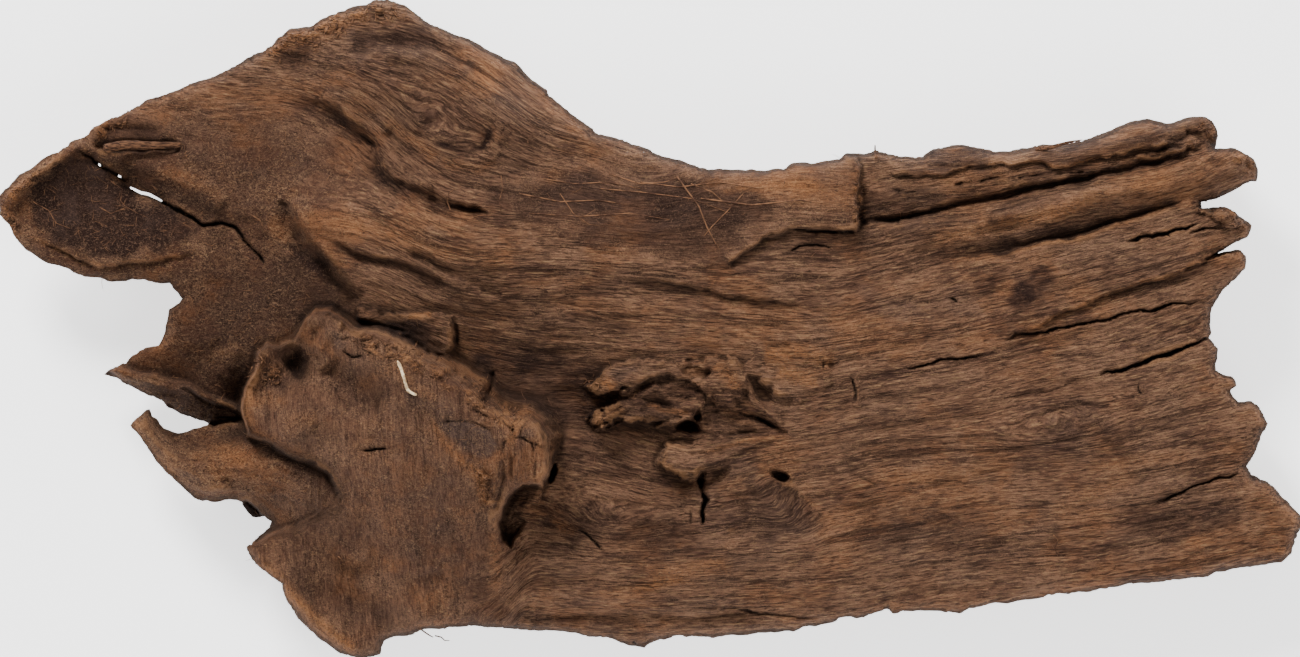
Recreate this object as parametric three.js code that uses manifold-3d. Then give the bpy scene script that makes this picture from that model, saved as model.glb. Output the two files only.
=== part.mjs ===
// A piece of driftwood: the root end of a small trunk, hollowed and worn, lying on its back.
// Millimetres, +Z up. X runs from the forked root end (-X) to the broken end of the trunk (+X).
import * as THREE from "three";
import { mergeVertices } from "three/addons/utils/BufferGeometryUtils.js";
import Module from "manifold-3d";

const wasm = await Module();
wasm.setup();

// Driving dimensions.
const LENGTH = 400; // overall, along X
const DRAWN_LENGTH = 399; // the outline below is drawn this long
const BLOCK = { x: 416, y: 216, z: 140 }; // stock the two faces are carved in
const FRONT_CELLS = [80, 42]; // mesh cells of the upper face, about 5 mm each
const BACK_CELLS = [48, 24]; // mesh cells of the underside, about 9 mm each
const RIM_RADIUS = 13; // how far in from the outline the edge starts to round off
const RIM_SHARE = 0.36; // share of the thickness rounded away above, and again below
const BOSS_WALL = 12; // width of the slope between the knob and the wood round it
const STUB_RISE = 8; // the felted plate stands this proud of the trunk
const RAIL_WIDTH = 9; // half width of the two long splits at the top right
const SLIT_WIDTH = 1.6; // the crack that goes right through the root lobe

// The outline, seen from above, clockwise from the tip of the root lobe.
const OUTLINE = [
  [-199.5, 40], [-193.5, 46], [-187, 50.5], [-178.5, 55.5], [-170.5, 60.5], [-163, 64.5],
  [-154.5, 69.5], [-146, 72], [-135, 76], [-127, 80], [-120.5, 83.5], [-115.5, 85.5], [-110, 91],
  [-98.5, 95], [-89, 98.5], [-85, 100.5], [-80.5, 100.5], [-75.5, 99], [-71.5, 95.5], [-64.5, 91.5],
  [-58.5, 89], [-50, 85.5], [-42, 81], [-37, 76], [-31.5, 71], [-26, 66.5], [-21.5, 63],
  [-16.5, 59.5], [-8.5, 57], [0.5, 53], [12, 49.5], [17, 48.5], [27, 48], [41, 48], [49, 50.5],
  [60.5, 53], [71, 53.5], [81.5, 51.5], [87, 54.5], [95, 55.5], [105, 53.5], [120, 55],
  [132.5, 56.5], [140.5, 59.5], [147.5, 62.5], [158.5, 62.5], [170.5, 65], [174, 59], [173.5, 55],
  [180.5, 54.5], [186, 48.5], [184, 45], [173, 40], [168.5, 39], [169, 36.5], [176.5, 37],
  [183.5, 31], [183, 28], [170.5, 21], [181, 23.5], [182.5, 21.5], [177.5, 13.5], [171.5, 6],
  [171, 1], [170.5, -3], [174, -6.5], [172.5, -11.5], [179.5, -17.5], [179, -21.5], [186, -24],
  [189, -29.5], [187, -33], [182.5, -42.5], [189, -47.5], [199.5, -58], [199.5, -60.5],
  [194, -71.5], [187.5, -72.5], [166, -76.5], [148.5, -78], [135.5, -80.5], [112.5, -83.5],
  [95, -87], [75, -87], [65, -88.5], [44.5, -92.5], [22.5, -94.5], [8.5, -94], [-2, -98],
  [-6.5, -97.5], [-13, -95], [-24, -93.5], [-38, -92], [-52.5, -91], [-67.5, -92], [-78, -94.5],
  [-82, -96], [-83.5, -99.5], [-88.5, -101], [-95, -99.5], [-99.5, -96], [-107.5, -89],
  [-111, -84], [-112.5, -78.5], [-121.5, -71], [-123.5, -67.5], [-117, -61.5], [-116.5, -59.5],
  [-122, -58], [-126, -52.5], [-137.5, -53], [-145, -47.5], [-150, -42], [-159, -30], [-154, -25],
  [-150, -31], [-145, -33], [-135, -30.5], [-135.5, -29], [-144, -26], [-150, -22],
  [-156.5, -20], [-167, -14], [-161, -11], [-157, -7.5], [-151, -5.5], [-148.5, -1.5],
  [-147.5, 5.5], [-143.5, 9.5], [-147.5, 13.5], [-155.5, 15.5], [-170, 15.5], [-182, 19],
  [-191.5, 24], [-196, 31.5],
];

// Spot heights of the upper face, [x, y, z].
const SPOTS = [
  // the shoulder at the top left and the slope below it
  [-83, 96, 44], [-108, 86, 42], [-62, 83, 52], [-40, 73, 48], [-77, 76, 60], [-95, 73, 55],
  [-65, 61, 62], [-46, 58, 59], [-25, 55, 52], [-12, 50, 50], [-123, 73, 44], [-138, 67, 42],
  [-154, 63, 38], [-108, 61, 48], [-92, 52, 46], [-123, 52, 45], [-138, 46, 42], [-108, 43, 50],
  [-126, 33, 42], [-117, 20, 36],
  // the dished root lobe
  [-194, 40, 42], [-182, 46, 38], [-169, 35, 34], [-157, 46, 34], [-182, 27, 37], [-163, 23, 38],
  [-148, 27, 36], [-137, 33, 38],
  // the hollow sheet, the prong and the horn
  [-138, 12, 32], [-145, -4, 26], [-129, -4, 24], [-114, 9, 29], [-100, 9, 38], [-132, -16, 20],
  [-112, -2, 30], [-163, -13, 20], [-145, -19, 18], [-126, -25, 18], [-155, -28, 30],
  [-148, -37, 27], [-132, -42, 26], [-117, -39, 22], [-108, -47, 20], [-123, -56, 14],
  // the trunk
  [-105, 35, 54], [-92, 30, 58], [-71, 24, 62], [-46, 18, 62], [-15, 9, 60], [15, 9, 57],
  [46, 6, 54], [-89, 15, 52], [-71, 9, 53], [-52, 0, 46], [-31, -7, 46], [-9, -5, 50],
  [-31, 40, 58], [0, 36, 58], [31, 36, 56], [55, 40, 53], [77, 9, 53], [77, -16, 53],
  [62, -31, 53],
  // the hollow beside the knob
  [-55, -11, 30], [-40, -17, 28], [-25, -22, 27], [-15, -28, 29],
  // the knot and the bowls round it
  [15, -16, 52], [34, -16, 54], [55, -16, 56], [-3, -37, 41], [-28, -44, 40], [-15, -53, 38],
  [9, -53, 40], [34, -56, 43], [46, -47, 46], [31, -37, 48],
  // the broken end
  [77, 30, 50], [108, 24, 51], [108, 3, 51], [138, 24, 49], [169, 27, 46], [169, 12, 44],
  [138, -4, 48], [166, -7, 44], [108, -28, 50], [138, -28, 48], [169, -28, 44], [92, -40, 50],
  [138, -47, 47], [185, -37, 42], [169, -59, 42], [194, -62, 36], [108, -62, 42], [77, -62, 42],
  [77, 46, 36], [108, 49, 38], [138, 52, 38], [166, 55, 37], [108, 35, 45], [145, 43, 45],
  [182, 49, 41],
  // the belly along the lower edge
  [-31, -71, 42], [-15, -77, 42], [15, -74, 44], [46, -74, 42], [-40, -84, 40], [-6, -90, 33],
  [-28, -90, 31], [31, -87, 33], [77, -80, 33], [108, -76, 35], [154, -68, 37],
];

// The knob at the lower left: its own outline and spot heights.
const BOSS_EDGE = [
  [-117.5, -4], [-123, -15], [-124.5, -22], [-123.5, -33], [-111, -38.5], [-98, -44.5],
  [-95.5, -53], [-107.5, -59.5], [-127.5, -68], [-98.5, -108], [-49, -102], [-50, -89.5],
  [-45.5, -77.5], [-45, -62], [-40.5, -49.5], [-32.5, -48.5], [-29, -42], [-30.5, -31.5],
  [-42, -24], [-59, -13], [-73, -4.5], [-76.5, -1.5], [-88.5, 3], [-100.5, 5.5], [-108.5, -2],
];
const BOSS_SPOTS = [
  [-98, 3, 68], [-94, -7, 72], [-77, -14, 77], [-58, -27, 80], [-37, -34, 74], [-119, -10, 66],
  [-124, -22, 64], [-108, -12, 56], [-92, -27, 70], [-108, -31, 66], [-98, -42, 62],
  [-77, -47, 70], [-52, -47, 72], [-46, -59, 64], [-68, -65, 58], [-92, -62, 52],
  [-117, -68, 38], [-98, -80, 37], [-108, -84, 40], [-86, -96, 34], [-68, -84, 46],
  [-52, -84, 43],
];

// The felted plate that ends in a step, and the long ridges and gullies of the grain.
const STUB_EDGE = [
  [64, 45.5], [64, 31], [40.5, 30], [34.5, 25.5], [22, 20.5], [-3, 21.5], [-27.5, 29],
  [-46, 39.5], [-40, 50.5], [-15.5, 54], [15.5, 50], [46, 51],
];
const RAIL_UPPER = [[66, 50], [92.5, 50], [126, 53], [151, 58], [171.5, 60]];
const RAIL_LOWER = [[66, 30], [89, 31.5], [107.5, 35], [147.5, 44], [184, 49]];
const GULLY_UPPER = [[65, 37], [86, 40], [107.5, 43.5], [138.5, 50], [172, 56]];
const GULLY_LOWER = [[86, 22], [107.5, 25], [126, 29], [147.5, 34], [172, 39]];
const GROOVE = [[-107.5, 68], [-95.5, 60.5], [-85.5, 52], [-78.5, 42.5], [-64.5, 38], [-49, 35]];
const PRONG = [[-165.5, -13.5], [-149, -17.5], [-124.5, -24]];
const FLAP_UPPER = [[-15.5, -20.5], [-3, -14.5], [15.5, -13], [34, -15]];
const FLAP_LOWER = [[-15.5, -29.5], [0, -26.5], [12.5, -27.5]];
const LEDGE = [[-17, 17.5], [0, 15.5], [15.5, 11], [37, 8], [55.5, 7]];
const SLIT = [[-171, 51], [-160, 44], [-151, 40], [-143.5, 35.5]];

// Spot heights of the underside; where they fall below 0 the wood rests on a worn flat.
const BACK_SPOTS = [
  [-68, 67, -6], [-83, 86, 2], [-138, 61, 13], [-108, 40, 10], [-169, 33, 20], [-194, 40, 30],
  [-129, -4, 12], [-163, -13, 12], [-155, -28, 18], [-132, -42, 12], [-92, -28, 5],
  [-92, -80, -8], [-114, -74, 4], [-62, -59, 8], [-15, 24, 12], [-62, 15, 12], [-15, -37, 15],
  [15, -71, 6], [-3, -88, -2], [34, 40, 12], [108, 9, 12], [182, 49, 18], [163, 30, 10],
  [145, 54, -3], [92, 49, 4], [169, -22, 8], [180, -60, -7], [145, -68, 0], [108, -78, 5],
  [62, -82, 4], [77, -37, 14],
];

const clamp01 = (t) => Math.min(1, Math.max(0, t));
const smooth = (t) => clamp01(t) ** 2 * (3 - 2 * clamp01(t));

// Height at (x, y): the spot heights weighed by closeness.
function heightFrom(spots, x, y) {
  let sum = 0;
  let weight = 0;
  for (const [sx, sy, sz] of spots) {
    const w = 1 / ((x - sx) ** 2 + (y - sy) ** 2 + 20) ** 2;
    sum += w * sz;
    weight += w;
  }
  return sum / weight;
}

// Distance from (x, y) to a path of straight runs.
function distanceTo(path, x, y, closed = false) {
  let best = Infinity;
  const last = closed ? path.length : path.length - 1;
  for (let i = 0; i < last; i++) {
    const [ax, ay] = path[i];
    const [bx, by] = path[(i + 1) % path.length];
    const run = (bx - ax) ** 2 + (by - ay) ** 2;
    const t = clamp01(((x - ax) * (bx - ax) + (y - ay) * (by - ay)) / run);
    best = Math.min(best, Math.hypot(x - ax - t * (bx - ax), y - ay - t * (by - ay)));
  }
  return best;
}

// Depth inside a closed outline: positive inside, negative outside.
function depthIn(outline, x, y) {
  let inside = false;
  outline.forEach(([ax, ay], i) => {
    const [bx, by] = outline[(i + 1) % outline.length];
    const crosses = ay > y !== by > y && x < ((bx - ax) * (y - ay)) / (by - ay) + ax;
    if (crosses) inside = !inside;
  });
  return distanceTo(outline, x, y, true) * (inside ? 1 : -1);
}

// A rounded ridge or gully beside a path: 1 on the path, 0 from `width` outwards.
const beside = (path, width, x, y) => smooth(1 - distanceTo(path, x, y) / width);

function frontHeight(x, y) {
  let z = heightFrom(SPOTS, x, y);
  z += STUB_RISE * smooth(depthIn(STUB_EDGE, x, y) / 8 + 0.5);
  z += 9 * beside(RAIL_UPPER, RAIL_WIDTH, x, y);
  z += 5 * beside(RAIL_LOWER, RAIL_WIDTH, x, y);
  z -= 15 * beside(GULLY_UPPER, 9, x, y);
  z -= 16 * beside(GULLY_LOWER, 8.5, x, y);
  z -= 17 * beside(GROOVE, 11, x, y);
  z += 12 * beside(PRONG, 9, x, y);
  z += 13 * beside(FLAP_UPPER, 11, x, y);
  z += 14 * beside(FLAP_LOWER, 9, x, y);
  z += 2 * beside(LEDGE, 7, x, y);
  const knob = smooth(depthIn(BOSS_EDGE, x, y) / BOSS_WALL + 0.5);
  return z * (1 - knob) + heightFrom(BOSS_SPOTS, x, y) * knob;
}

const backHeight = (x, y) => heightFrom(BACK_SPOTS, x, y);

// How much of the rounded edge applies this far inside the outline: 1 at the edge, 0 well inside.
function rimShare(depth, thickness) {
  const radius = Math.min(RIM_RADIUS, 0.6 * thickness);
  const t = clamp01(1 - depth / radius);
  return 1 - Math.sqrt(1 - t * t);
}

// The height of both faces at (x, y), with the edge rounded off.
function faces(x, y) {
  const top = frontHeight(x, y);
  const bottom = backHeight(x, y);
  const thickness = Math.max(6, top - bottom);
  const round = RIM_SHARE * thickness * rimShare(depthIn(OUTLINE, x, y), thickness);
  return { top: top - round, bottom: Math.max(0, bottom + round) };
}

// A manifold solid from a three.js geometry.
function solidOf(geometry) {
  const plain = geometry.clone();
  plain.deleteAttribute("normal");
  plain.deleteAttribute("uv");
  const merged = mergeVertices(plain, 1e-3);
  return new wasm.Manifold(
    new wasm.Mesh({
      numProp: 3,
      vertProperties: merged.attributes.position.array,
      triVerts: new Uint32Array(merged.index.array),
    }),
  );
}

// A block with one of its broad faces carved: side +1 carves the top, -1 the bottom.
function carvedBlock([nx, ny], side, heightAt) {
  const block = new THREE.BoxGeometry(BLOCK.x, BLOCK.y, BLOCK.z, nx, ny, 1);
  block.translate(0, 0, BLOCK.z / 2 - 20);
  const p = block.attributes.position;
  const face = side > 0 ? BLOCK.z - 20 : -20;
  for (let i = 0; i < p.count; i++) {
    if (Math.abs(p.getZ(i) - face) < 1e-3) p.setZ(i, heightAt(p.getX(i), p.getY(i)));
  }
  return solidOf(block);
}

// A prism standing on z = -1 with this outline, the cutter for the silhouette and the slit.
function prism(points) {
  const shape = new THREE.Shape(points.map(([x, y]) => new THREE.Vector2(x, y)));
  const body = new THREE.ExtrudeGeometry(shape, { depth: BLOCK.z, bevelEnabled: false });
  body.translate(0, 0, -1);
  return solidOf(body);
}

// The slit's outline: its path with a width that dies out at both ends.
function slitOutline(path, width) {
  const side = (sign) =>
    path.map(([x, y], i) => {
      const half = i === 0 || i === path.length - 1 ? 0.15 : width / 2;
      return [x + sign * half * 0.5, y + sign * half * 0.87];
    });
  return [...side(1), ...side(-1).reverse()];
}

const upper = carvedBlock(FRONT_CELLS, 1, (x, y) => faces(x, y).top);
const under = carvedBlock(BACK_CELLS, -1, (x, y) => faces(x, y).bottom);
const wood = upper
  .intersect(under)
  .intersect(prism(OUTLINE))
  .subtract(prism(slitOutline(SLIT, SLIT_WIDTH)));

// Back to three.js, scaled to its length, standing on z = 0 with its middle over the origin.
const made = wood.getMesh();
const geometry = new THREE.BufferGeometry();
geometry.setAttribute("position", new THREE.BufferAttribute(made.vertProperties, 3));
geometry.setIndex(new THREE.BufferAttribute(made.triVerts, 1));
geometry.scale(LENGTH / DRAWN_LENGTH, LENGTH / DRAWN_LENGTH, LENGTH / DRAWN_LENGTH);
geometry.computeBoundingBox();
const { min, max } = geometry.boundingBox;
geometry.translate(-(min.x + max.x) / 2, -(min.y + max.y) / 2, -min.z);
geometry.computeVertexNormals();

const darkWood = new THREE.MeshStandardMaterial({
  color: 0x5b3c28,
  roughness: 0.92,
  metalness: 0,
});
const driftwood = new THREE.Mesh(geometry, darkWood);
driftwood.name = "driftwood";

const part = new THREE.Group();
part.add(driftwood);
export default part;
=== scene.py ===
import bpy
import numpy as np
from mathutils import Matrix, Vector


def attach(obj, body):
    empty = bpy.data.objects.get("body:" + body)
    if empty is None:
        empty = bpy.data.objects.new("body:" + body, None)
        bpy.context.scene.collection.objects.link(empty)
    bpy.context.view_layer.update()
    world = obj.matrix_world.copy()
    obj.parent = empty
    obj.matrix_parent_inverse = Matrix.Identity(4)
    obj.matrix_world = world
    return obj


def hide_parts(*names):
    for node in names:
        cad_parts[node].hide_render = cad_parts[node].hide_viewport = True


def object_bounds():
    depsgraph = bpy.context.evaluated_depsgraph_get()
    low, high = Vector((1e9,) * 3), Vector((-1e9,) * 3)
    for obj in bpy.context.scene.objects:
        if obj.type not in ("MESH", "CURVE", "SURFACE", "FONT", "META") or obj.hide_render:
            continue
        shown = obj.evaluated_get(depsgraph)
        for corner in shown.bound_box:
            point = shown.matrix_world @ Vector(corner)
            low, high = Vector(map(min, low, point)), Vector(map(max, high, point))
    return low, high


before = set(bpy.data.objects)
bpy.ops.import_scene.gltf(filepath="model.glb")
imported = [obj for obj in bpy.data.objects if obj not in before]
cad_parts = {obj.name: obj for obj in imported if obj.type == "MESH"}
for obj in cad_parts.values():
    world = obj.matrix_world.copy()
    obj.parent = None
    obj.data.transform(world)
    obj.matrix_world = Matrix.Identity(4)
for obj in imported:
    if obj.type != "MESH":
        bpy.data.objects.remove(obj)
cad_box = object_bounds()
scene = bpy.context.scene

# ---- Where the piece lies -------------------------------------------------------------
# A plain white table under a big soft lamp on the upper left, with the camera straight
# above on a long lens, because the wood lies on its back.


def linear(hex_colour):
    """sRGB hex digits to the linear red, green, blue and alpha that the shaders take."""
    value = np.array([int(hex_colour[i : i + 2], 16) for i in (0, 2, 4)]) / 255
    value = np.where(value <= 0.04045, value / 12.92, ((value + 0.055) / 1.055) ** 2.4)
    return (*value.tolist(), 1.0)


def new_material(name, roughness, specular=0.5):
    """A material, its node tree and its main shader, as rough and as shiny as given."""
    material = bpy.data.materials.new(name)
    material.use_nodes = True
    shader = material.node_tree.nodes["Principled BSDF"]
    shader.inputs["Roughness"].default_value = roughness
    shader.inputs["Specular IOR Level"].default_value = specular
    return material, material.node_tree, shader


def quad_mesh(name, points, faces):
    """A mesh object from whole arrays of points (metres) and four-cornered faces."""
    mesh = bpy.data.meshes.new(name)
    mesh.vertices.add(len(points))
    mesh.vertices.foreach_set("co", points.astype(np.float32).ravel())
    mesh.loops.add(faces.size)
    mesh.loops.foreach_set("vertex_index", faces.astype(np.int32).ravel())
    mesh.polygons.add(len(faces))
    mesh.polygons.foreach_set("loop_start", np.arange(0, faces.size, 4, dtype=np.int32))
    mesh.update(calc_edges=True)
    mesh.validate()
    mesh.shade_smooth()
    piece = bpy.data.objects.new(name, mesh)
    scene.collection.objects.link(piece)
    return piece


length = cad_box[1][0] - cad_box[0][0]
lens_mm, sensor_mm, rim_height = 600, 36, 0.03
camera_data = bpy.data.cameras.new("camera")
camera_data.lens = lens_mm
camera_data.sensor_width = sensor_mm
camera_data.clip_end = 50
camera = bpy.data.objects.new("camera", camera_data)
camera.location = (0, 0, rim_height + length * lens_mm / sensor_mm)
scene.collection.objects.link(camera)
scene.camera = camera

half_table = 4.0
table_points = half_table * np.array([[-1, -1, 0], [1, -1, 0], [1, 1, 0], [-1, 1, 0]])
table = quad_mesh("table", table_points, np.array([[0, 1, 2, 3]]))
# Matt white paper. It glows of itself, so that it stays pale under lamps set for dark wood.
table_white, _, table_shader = new_material("white_table_paper", roughness=0.9)
table_shader.inputs["Base Color"].default_value = linear("ffffff")
table_shader.inputs["Emission Color"].default_value = linear("ffffff")
table_shader.inputs["Emission Strength"].default_value = 1.6
table.data.materials.append(table_white)


def soft_lamp(name, place, size, power):
    """A square lamp at this place, turned to face the middle of the wood."""
    data = bpy.data.lights.new(name, "AREA")
    data.shape = "SQUARE"
    data.size = size
    data.energy = power
    lamp = bpy.data.objects.new(name, data)
    lamp.location = place
    towards = -np.array(place, float)
    lamp.rotation_euler = (
        np.arctan2(np.hypot(towards[0], towards[1]), -towards[2]),
        0,
        np.arctan2(towards[1], towards[0]) - np.pi / 2,
    )
    scene.collection.objects.link(lamp)


soft_lamp("key_lamp", place=(-0.8, 1.6, 1.8), size=0.7, power=96)
soft_lamp("fill_lamp", place=(1.2, -1.0, 2.0), size=1.6, power=34)
world = bpy.data.worlds.new("studio_air")
world.use_nodes = True
world.node_tree.nodes["Background"].inputs["Color"].default_value = linear("ffffff")
world.node_tree.nodes["Background"].inputs["Strength"].default_value = 0.56
scene.world = world

# ---- The driftwood --------------------------------------------------------------------
# The root end of a small trunk, waterworn and dried: dark, fibrous heartwood, one grown
# piece. Its upper face is a height field over its outline, closed by a hollow back.
STEP = 0.5  # spacing of the surface grid, in millimetres
half_x, half_y = 204, 105  # half sizes of the grid, a little beyond the outline
x_line = np.arange(-half_x, half_x + STEP, STEP)
y_line = np.arange(-half_y, half_y + STEP, STEP)
X, Y = np.meshgrid(x_line, y_line)

OUTLINE = [
    (-199.5, 40), (-193.5, 46), (-187, 50.5), (-178.5, 55.5), (-178, 56.5), (-173.5, 58.5),
    (-171, 60.5), (-166.5, 62.5), (-163, 64.5), (-154.5, 69), (-146, 72), (-135, 76), (-127, 80),
    (-120.5, 83.5), (-115.5, 85.5), (-114, 88.5), (-110, 91), (-103.5, 92.5), (-98.5, 95),
    (-89, 98.5), (-85, 100.5), (-80.5, 100.5), (-75.5, 99), (-71.5, 95.5), (-64.5, 91.5),
    (-58.5, 89), (-50, 85), (-42, 81), (-37, 76), (-32, 72.5), (-31.5, 71), (-26, 66.5),
    (-21.5, 63), (-16.5, 59.5), (-8.5, 57), (-2, 54.5), (0.5, 53), (12, 49.5), (17, 48.5),
    (27, 48), (41, 48), (44.5, 49.5), (58, 51), (60.5, 53), (68, 53.5), (69.5, 54.5), (71, 53.5),
    (81.5, 51.5), (84, 52), (87, 54.5), (91, 55.5), (95, 55.5), (103, 54), (110, 53.5), (120, 55),
    (130, 56), (140.5, 59.5), (147.5, 62.5), (152.5, 63.5), (158.5, 62.5), (163.5, 63.5),
    (170.5, 65), (172.5, 63.5), (174, 59), (173.5, 55), (178, 55), (180.5, 54.5), (185, 51.5),
    (186, 48.5), (186, 45), (184, 45), (173, 40), (168.5, 39), (169, 36.5), (176.5, 37),
    (179, 35.5), (183.5, 31), (183, 28), (179, 26), (170.5, 21), (176.5, 23), (181, 23.5),
    (182.5, 21.5), (182, 18.5), (177.5, 13.5), (174.5, 11.5), (171.5, 6), (171, 1), (171.5, -1.5),
    (170.5, -3), (174, -6.5), (172.5, -11.5), (173, -13.5), (178, -16), (179.5, -17.5),
    (178, -19.5), (179, -21.5), (180.5, -23), (184, -23), (186, -24), (189, -29.5), (187, -33),
    (185.5, -37), (182.5, -42.5), (184.5, -45.5), (189, -47.5), (192, -50.5), (195, -53.5),
    (199.5, -58), (199.5, -60.5), (196.5, -69), (194, -71.5), (187.5, -72.5), (166, -76.5),
    (148.5, -78), (135.5, -80.5), (112.5, -83.5), (98, -85.5), (95, -87), (88.5, -86.5), (75, -87),
    (73, -85.5), (71, -87), (65, -88.5), (58, -89), (57, -90), (52.5, -91), (44.5, -92.5),
    (22.5, -94.5), (12.5, -94.5), (8.5, -94), (1, -96), (-2, -98), (-6.5, -97.5), (-13, -95),
    (-24, -93.5), (-38, -92), (-52.5, -91), (-67.5, -92), (-78, -94.5), (-82, -96), (-83.5, -99.5),
    (-88.5, -101), (-95, -99.5), (-99.5, -96), (-107.5, -89), (-111, -84), (-112.5, -78.5),
    (-118, -74.5), (-121.5, -71), (-123.5, -67.5), (-121.5, -65.5), (-117, -61.5), (-116.5, -59.5),
    (-118.5, -58), (-122, -58), (-124, -55), (-126, -52.5), (-130.5, -52.5), (-137.5, -53),
    (-139.5, -52), (-145, -47.5), (-150, -42), (-157.5, -32), (-159, -30), (-156, -26.5),
    (-154, -25), (-153, -27.5), (-150, -31), (-145, -33), (-140.5, -32), (-135, -30.5),
    (-135.5, -29), (-144, -26), (-148.5, -24), (-150, -22), (-156.5, -20), (-164, -15),
    (-167, -14), (-165, -12.5), (-161, -11), (-157, -7.5), (-151, -5.5), (-148.5, -1.5),
    (-147.5, 5.5), (-144.5, 7.5), (-143.5, 9), (-144.5, 10.5), (-147.5, 14), (-151, 14.5),
    (-155.5, 15.5), (-161, 14.5), (-170, 15.5), (-175.5, 17), (-182, 19), (-187, 21.5),
    (-191.5, 24), (-194, 27.5), (-196, 31.5), (-199, 35),
]

# Spot heights of the upper face (x, y, z) and, apart, of the knob on the lower left.
SPOTS = [
    (-83, 96.5, 44), (-107.5, 85.5, 42), (-61.5, 82.5, 52), (-40, 73.5, 49), (-77, 76.5, 57),
    (-95.5, 73.5, 53), (-64.5, 62.5, 58), (-49, 58, 60), (-46, 65.5, 62), (-24.5, 55, 54),
    (-12.5, 50.5, 51), (-123, 73.5, 44), (-138.5, 67, 42), (-154, 62.5, 37), (-107.5, 61, 47),
    (-92.5, 52, 46), (-123, 52, 45), (-138.5, 50.5, 42), (-107.5, 42.5, 49), (-126, 35, 42),
    (-117, 24, 38), (-194, 39.5, 42), (-181.5, 44, 37), (-169, 35, 34), (-157, 41, 33),
    (-181.5, 27, 37), (-163, 24, 37), (-147.5, 27, 37), (-137, 27, 37), (-138.5, 12, 33),
    (-144.5, -3.5, 30), (-129, -3.5, 33), (-114, 9, 37), (-100, 9, 40), (-132.5, -16, 29),
    (-112.5, -2, 40), (-163, -13.5, 20), (-144.5, -19, 18), (-126, -25, 18), (-155.5, -28, 31),
    (-147.5, -37.5, 32), (-132.5, -42, 40), (-117, -39, 50), (-107.5, -46.5, 52), (-123, -56, 24),
    (-97, -53, 54), (-104.5, 35, 54), (-92.5, 30.5, 58), (-71, 24, 62), (-46, 18, 62),
    (-15.5, 9, 60), (15.5, 9, 57), (46, 5.5, 54), (-89, 15, 52), (-71, 9, 53), (-52.5, -0.5, 46),
    (-31, -6.5, 46), (-9, -5, 51), (-31, 39.5, 58), (0, 36.5, 58), (31, 36.5, 56),
    (55.5, 39.5, 53), (77, 9, 54), (77, -16, 53), (61.5, -31, 52), (-55.5, -11, 42),
    (-40, -17.5, 39), (-24.5, -22, 38), (-12.5, -23, 44), (1.5, -19.5, 48), (-15.5, -28, 39),
    (15.5, -16, 50), (34, -16, 52), (55.5, -16, 56), (-3, -37.5, 41), (-27.5, -43.5, 40),
    (-15.5, -53, 37), (9, -53, 40), (34, -56, 43), (46, -46.5, 46), (31, -37.5, 48), (77, 24, 51),
    (107.5, 18, 51), (107.5, 2.5, 51), (138.5, 19.5, 50), (169, 27, 47), (169, 12, 44),
    (138.5, -3.5, 48), (166, -6.5, 44), (107.5, -28, 50), (138.5, -28, 49), (169, -28, 45),
    (92.5, -40.5, 51), (138.5, -46.5, 47), (184.5, -37.5, 42), (169, -59, 42), (194, -62, 37),
    (107.5, -62, 42), (77, -62, 43), (77, 45.5, 42), (107.5, 49, 43), (138.5, 55, 44),
    (166, 59.5, 42), (107.5, 32, 46), (144.5, 41, 46), (181.5, 49, 42), (-31, -71, 43),
    (-15.5, -77.5, 43), (15.5, -74.5, 45), (46, -74.5, 43), (-40, -83.5, 40), (-6, -89.5, 33),
    (-27.5, -89.5, 31), (31, -86.5, 33), (77, -80.5, 33), (107.5, -76, 35), (154, -68, 38),
]
KNOB_SPOTS = [
    (-98.5, 3, 70), (-94, -6.5, 72), (-77, -14.5, 77), (-58.5, -26.5, 80), (-37, -34.5, 74),
    (-118.5, -8, 62), (-119.5, -14.5, 62), (-123.5, -22, 60), (-112.5, -10.5, 55),
    (-107.5, -13.5, 56), (-92.5, -26.5, 69), (-107.5, -31, 68), (-98.5, -42, 63), (-77, -46.5, 70),
    (-52.5, -46.5, 72), (-47, -59, 61), (-67.5, -65, 58), (-92.5, -62, 50), (-117, -68, 38),
    (-98.5, -80, 36), (-107.5, -84.5, 40), (-86, -96, 35), (-67.5, -83.5, 46), (-52.5, -83.5, 43),
    (-104.5, -39, 61), (-121.5, -31, 58), (-69, -31, 73), (-43, -37.5, 77),
]
KNOB_EDGE = [
    (-105.5, 2), (-102, 5.5), (-97.5, 5), (-93, 3), (-87.5, 0.5), (-83, 1), (-77, -1.5),
    (-73, -4.5), (-67.5, -7), (-63, -9), (-59, -13), (-51, -17.5), (-49, -20.5), (-43.5, -23),
    (-38, -25.5), (-32.5, -29), (-30, -34), (-31, -42), (-33, -48), (-39, -48.5), (-40.5, -51.5),
    (-43.5, -54.5), (-45, -59), (-44.5, -66), (-45.5, -77.5), (-50, -89.5), (-49, -103.5),
    (-98.5, -111), (-128.5, -68), (-119.5, -63.5), (-107.5, -60), (-97, -56), (-95.5, -52),
    (-98, -45), (-104.5, -41), (-111, -38.5), (-119.5, -34.5), (-123.5, -33), (-124.5, -29),
    (-125, -23.5), (-124.5, -18.5), (-122.5, -14), (-121, -7), (-117.5, -4), (-113.5, -5.5),
    (-109.5, -3),
]
PLATE_EDGE = [
    (64, 52), (64.5, 42), (63.5, 38), (64.5, 34), (63.5, 30.5), (58, 29.5), (51, 30.5), (42, 30.5),
    (37.5, 28.5), (34, 26.5), (28, 23), (23, 19), (12.5, 20.5), (-3, 21.5), (-18.5, 25),
    (-32.5, 30.5), (-44.5, 37), (-47.5, 40), (-44.5, 45.5), (-34, 49.5), (-15.5, 52.5), (3, 55),
    (21.5, 55), (46, 55),
]


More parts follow.
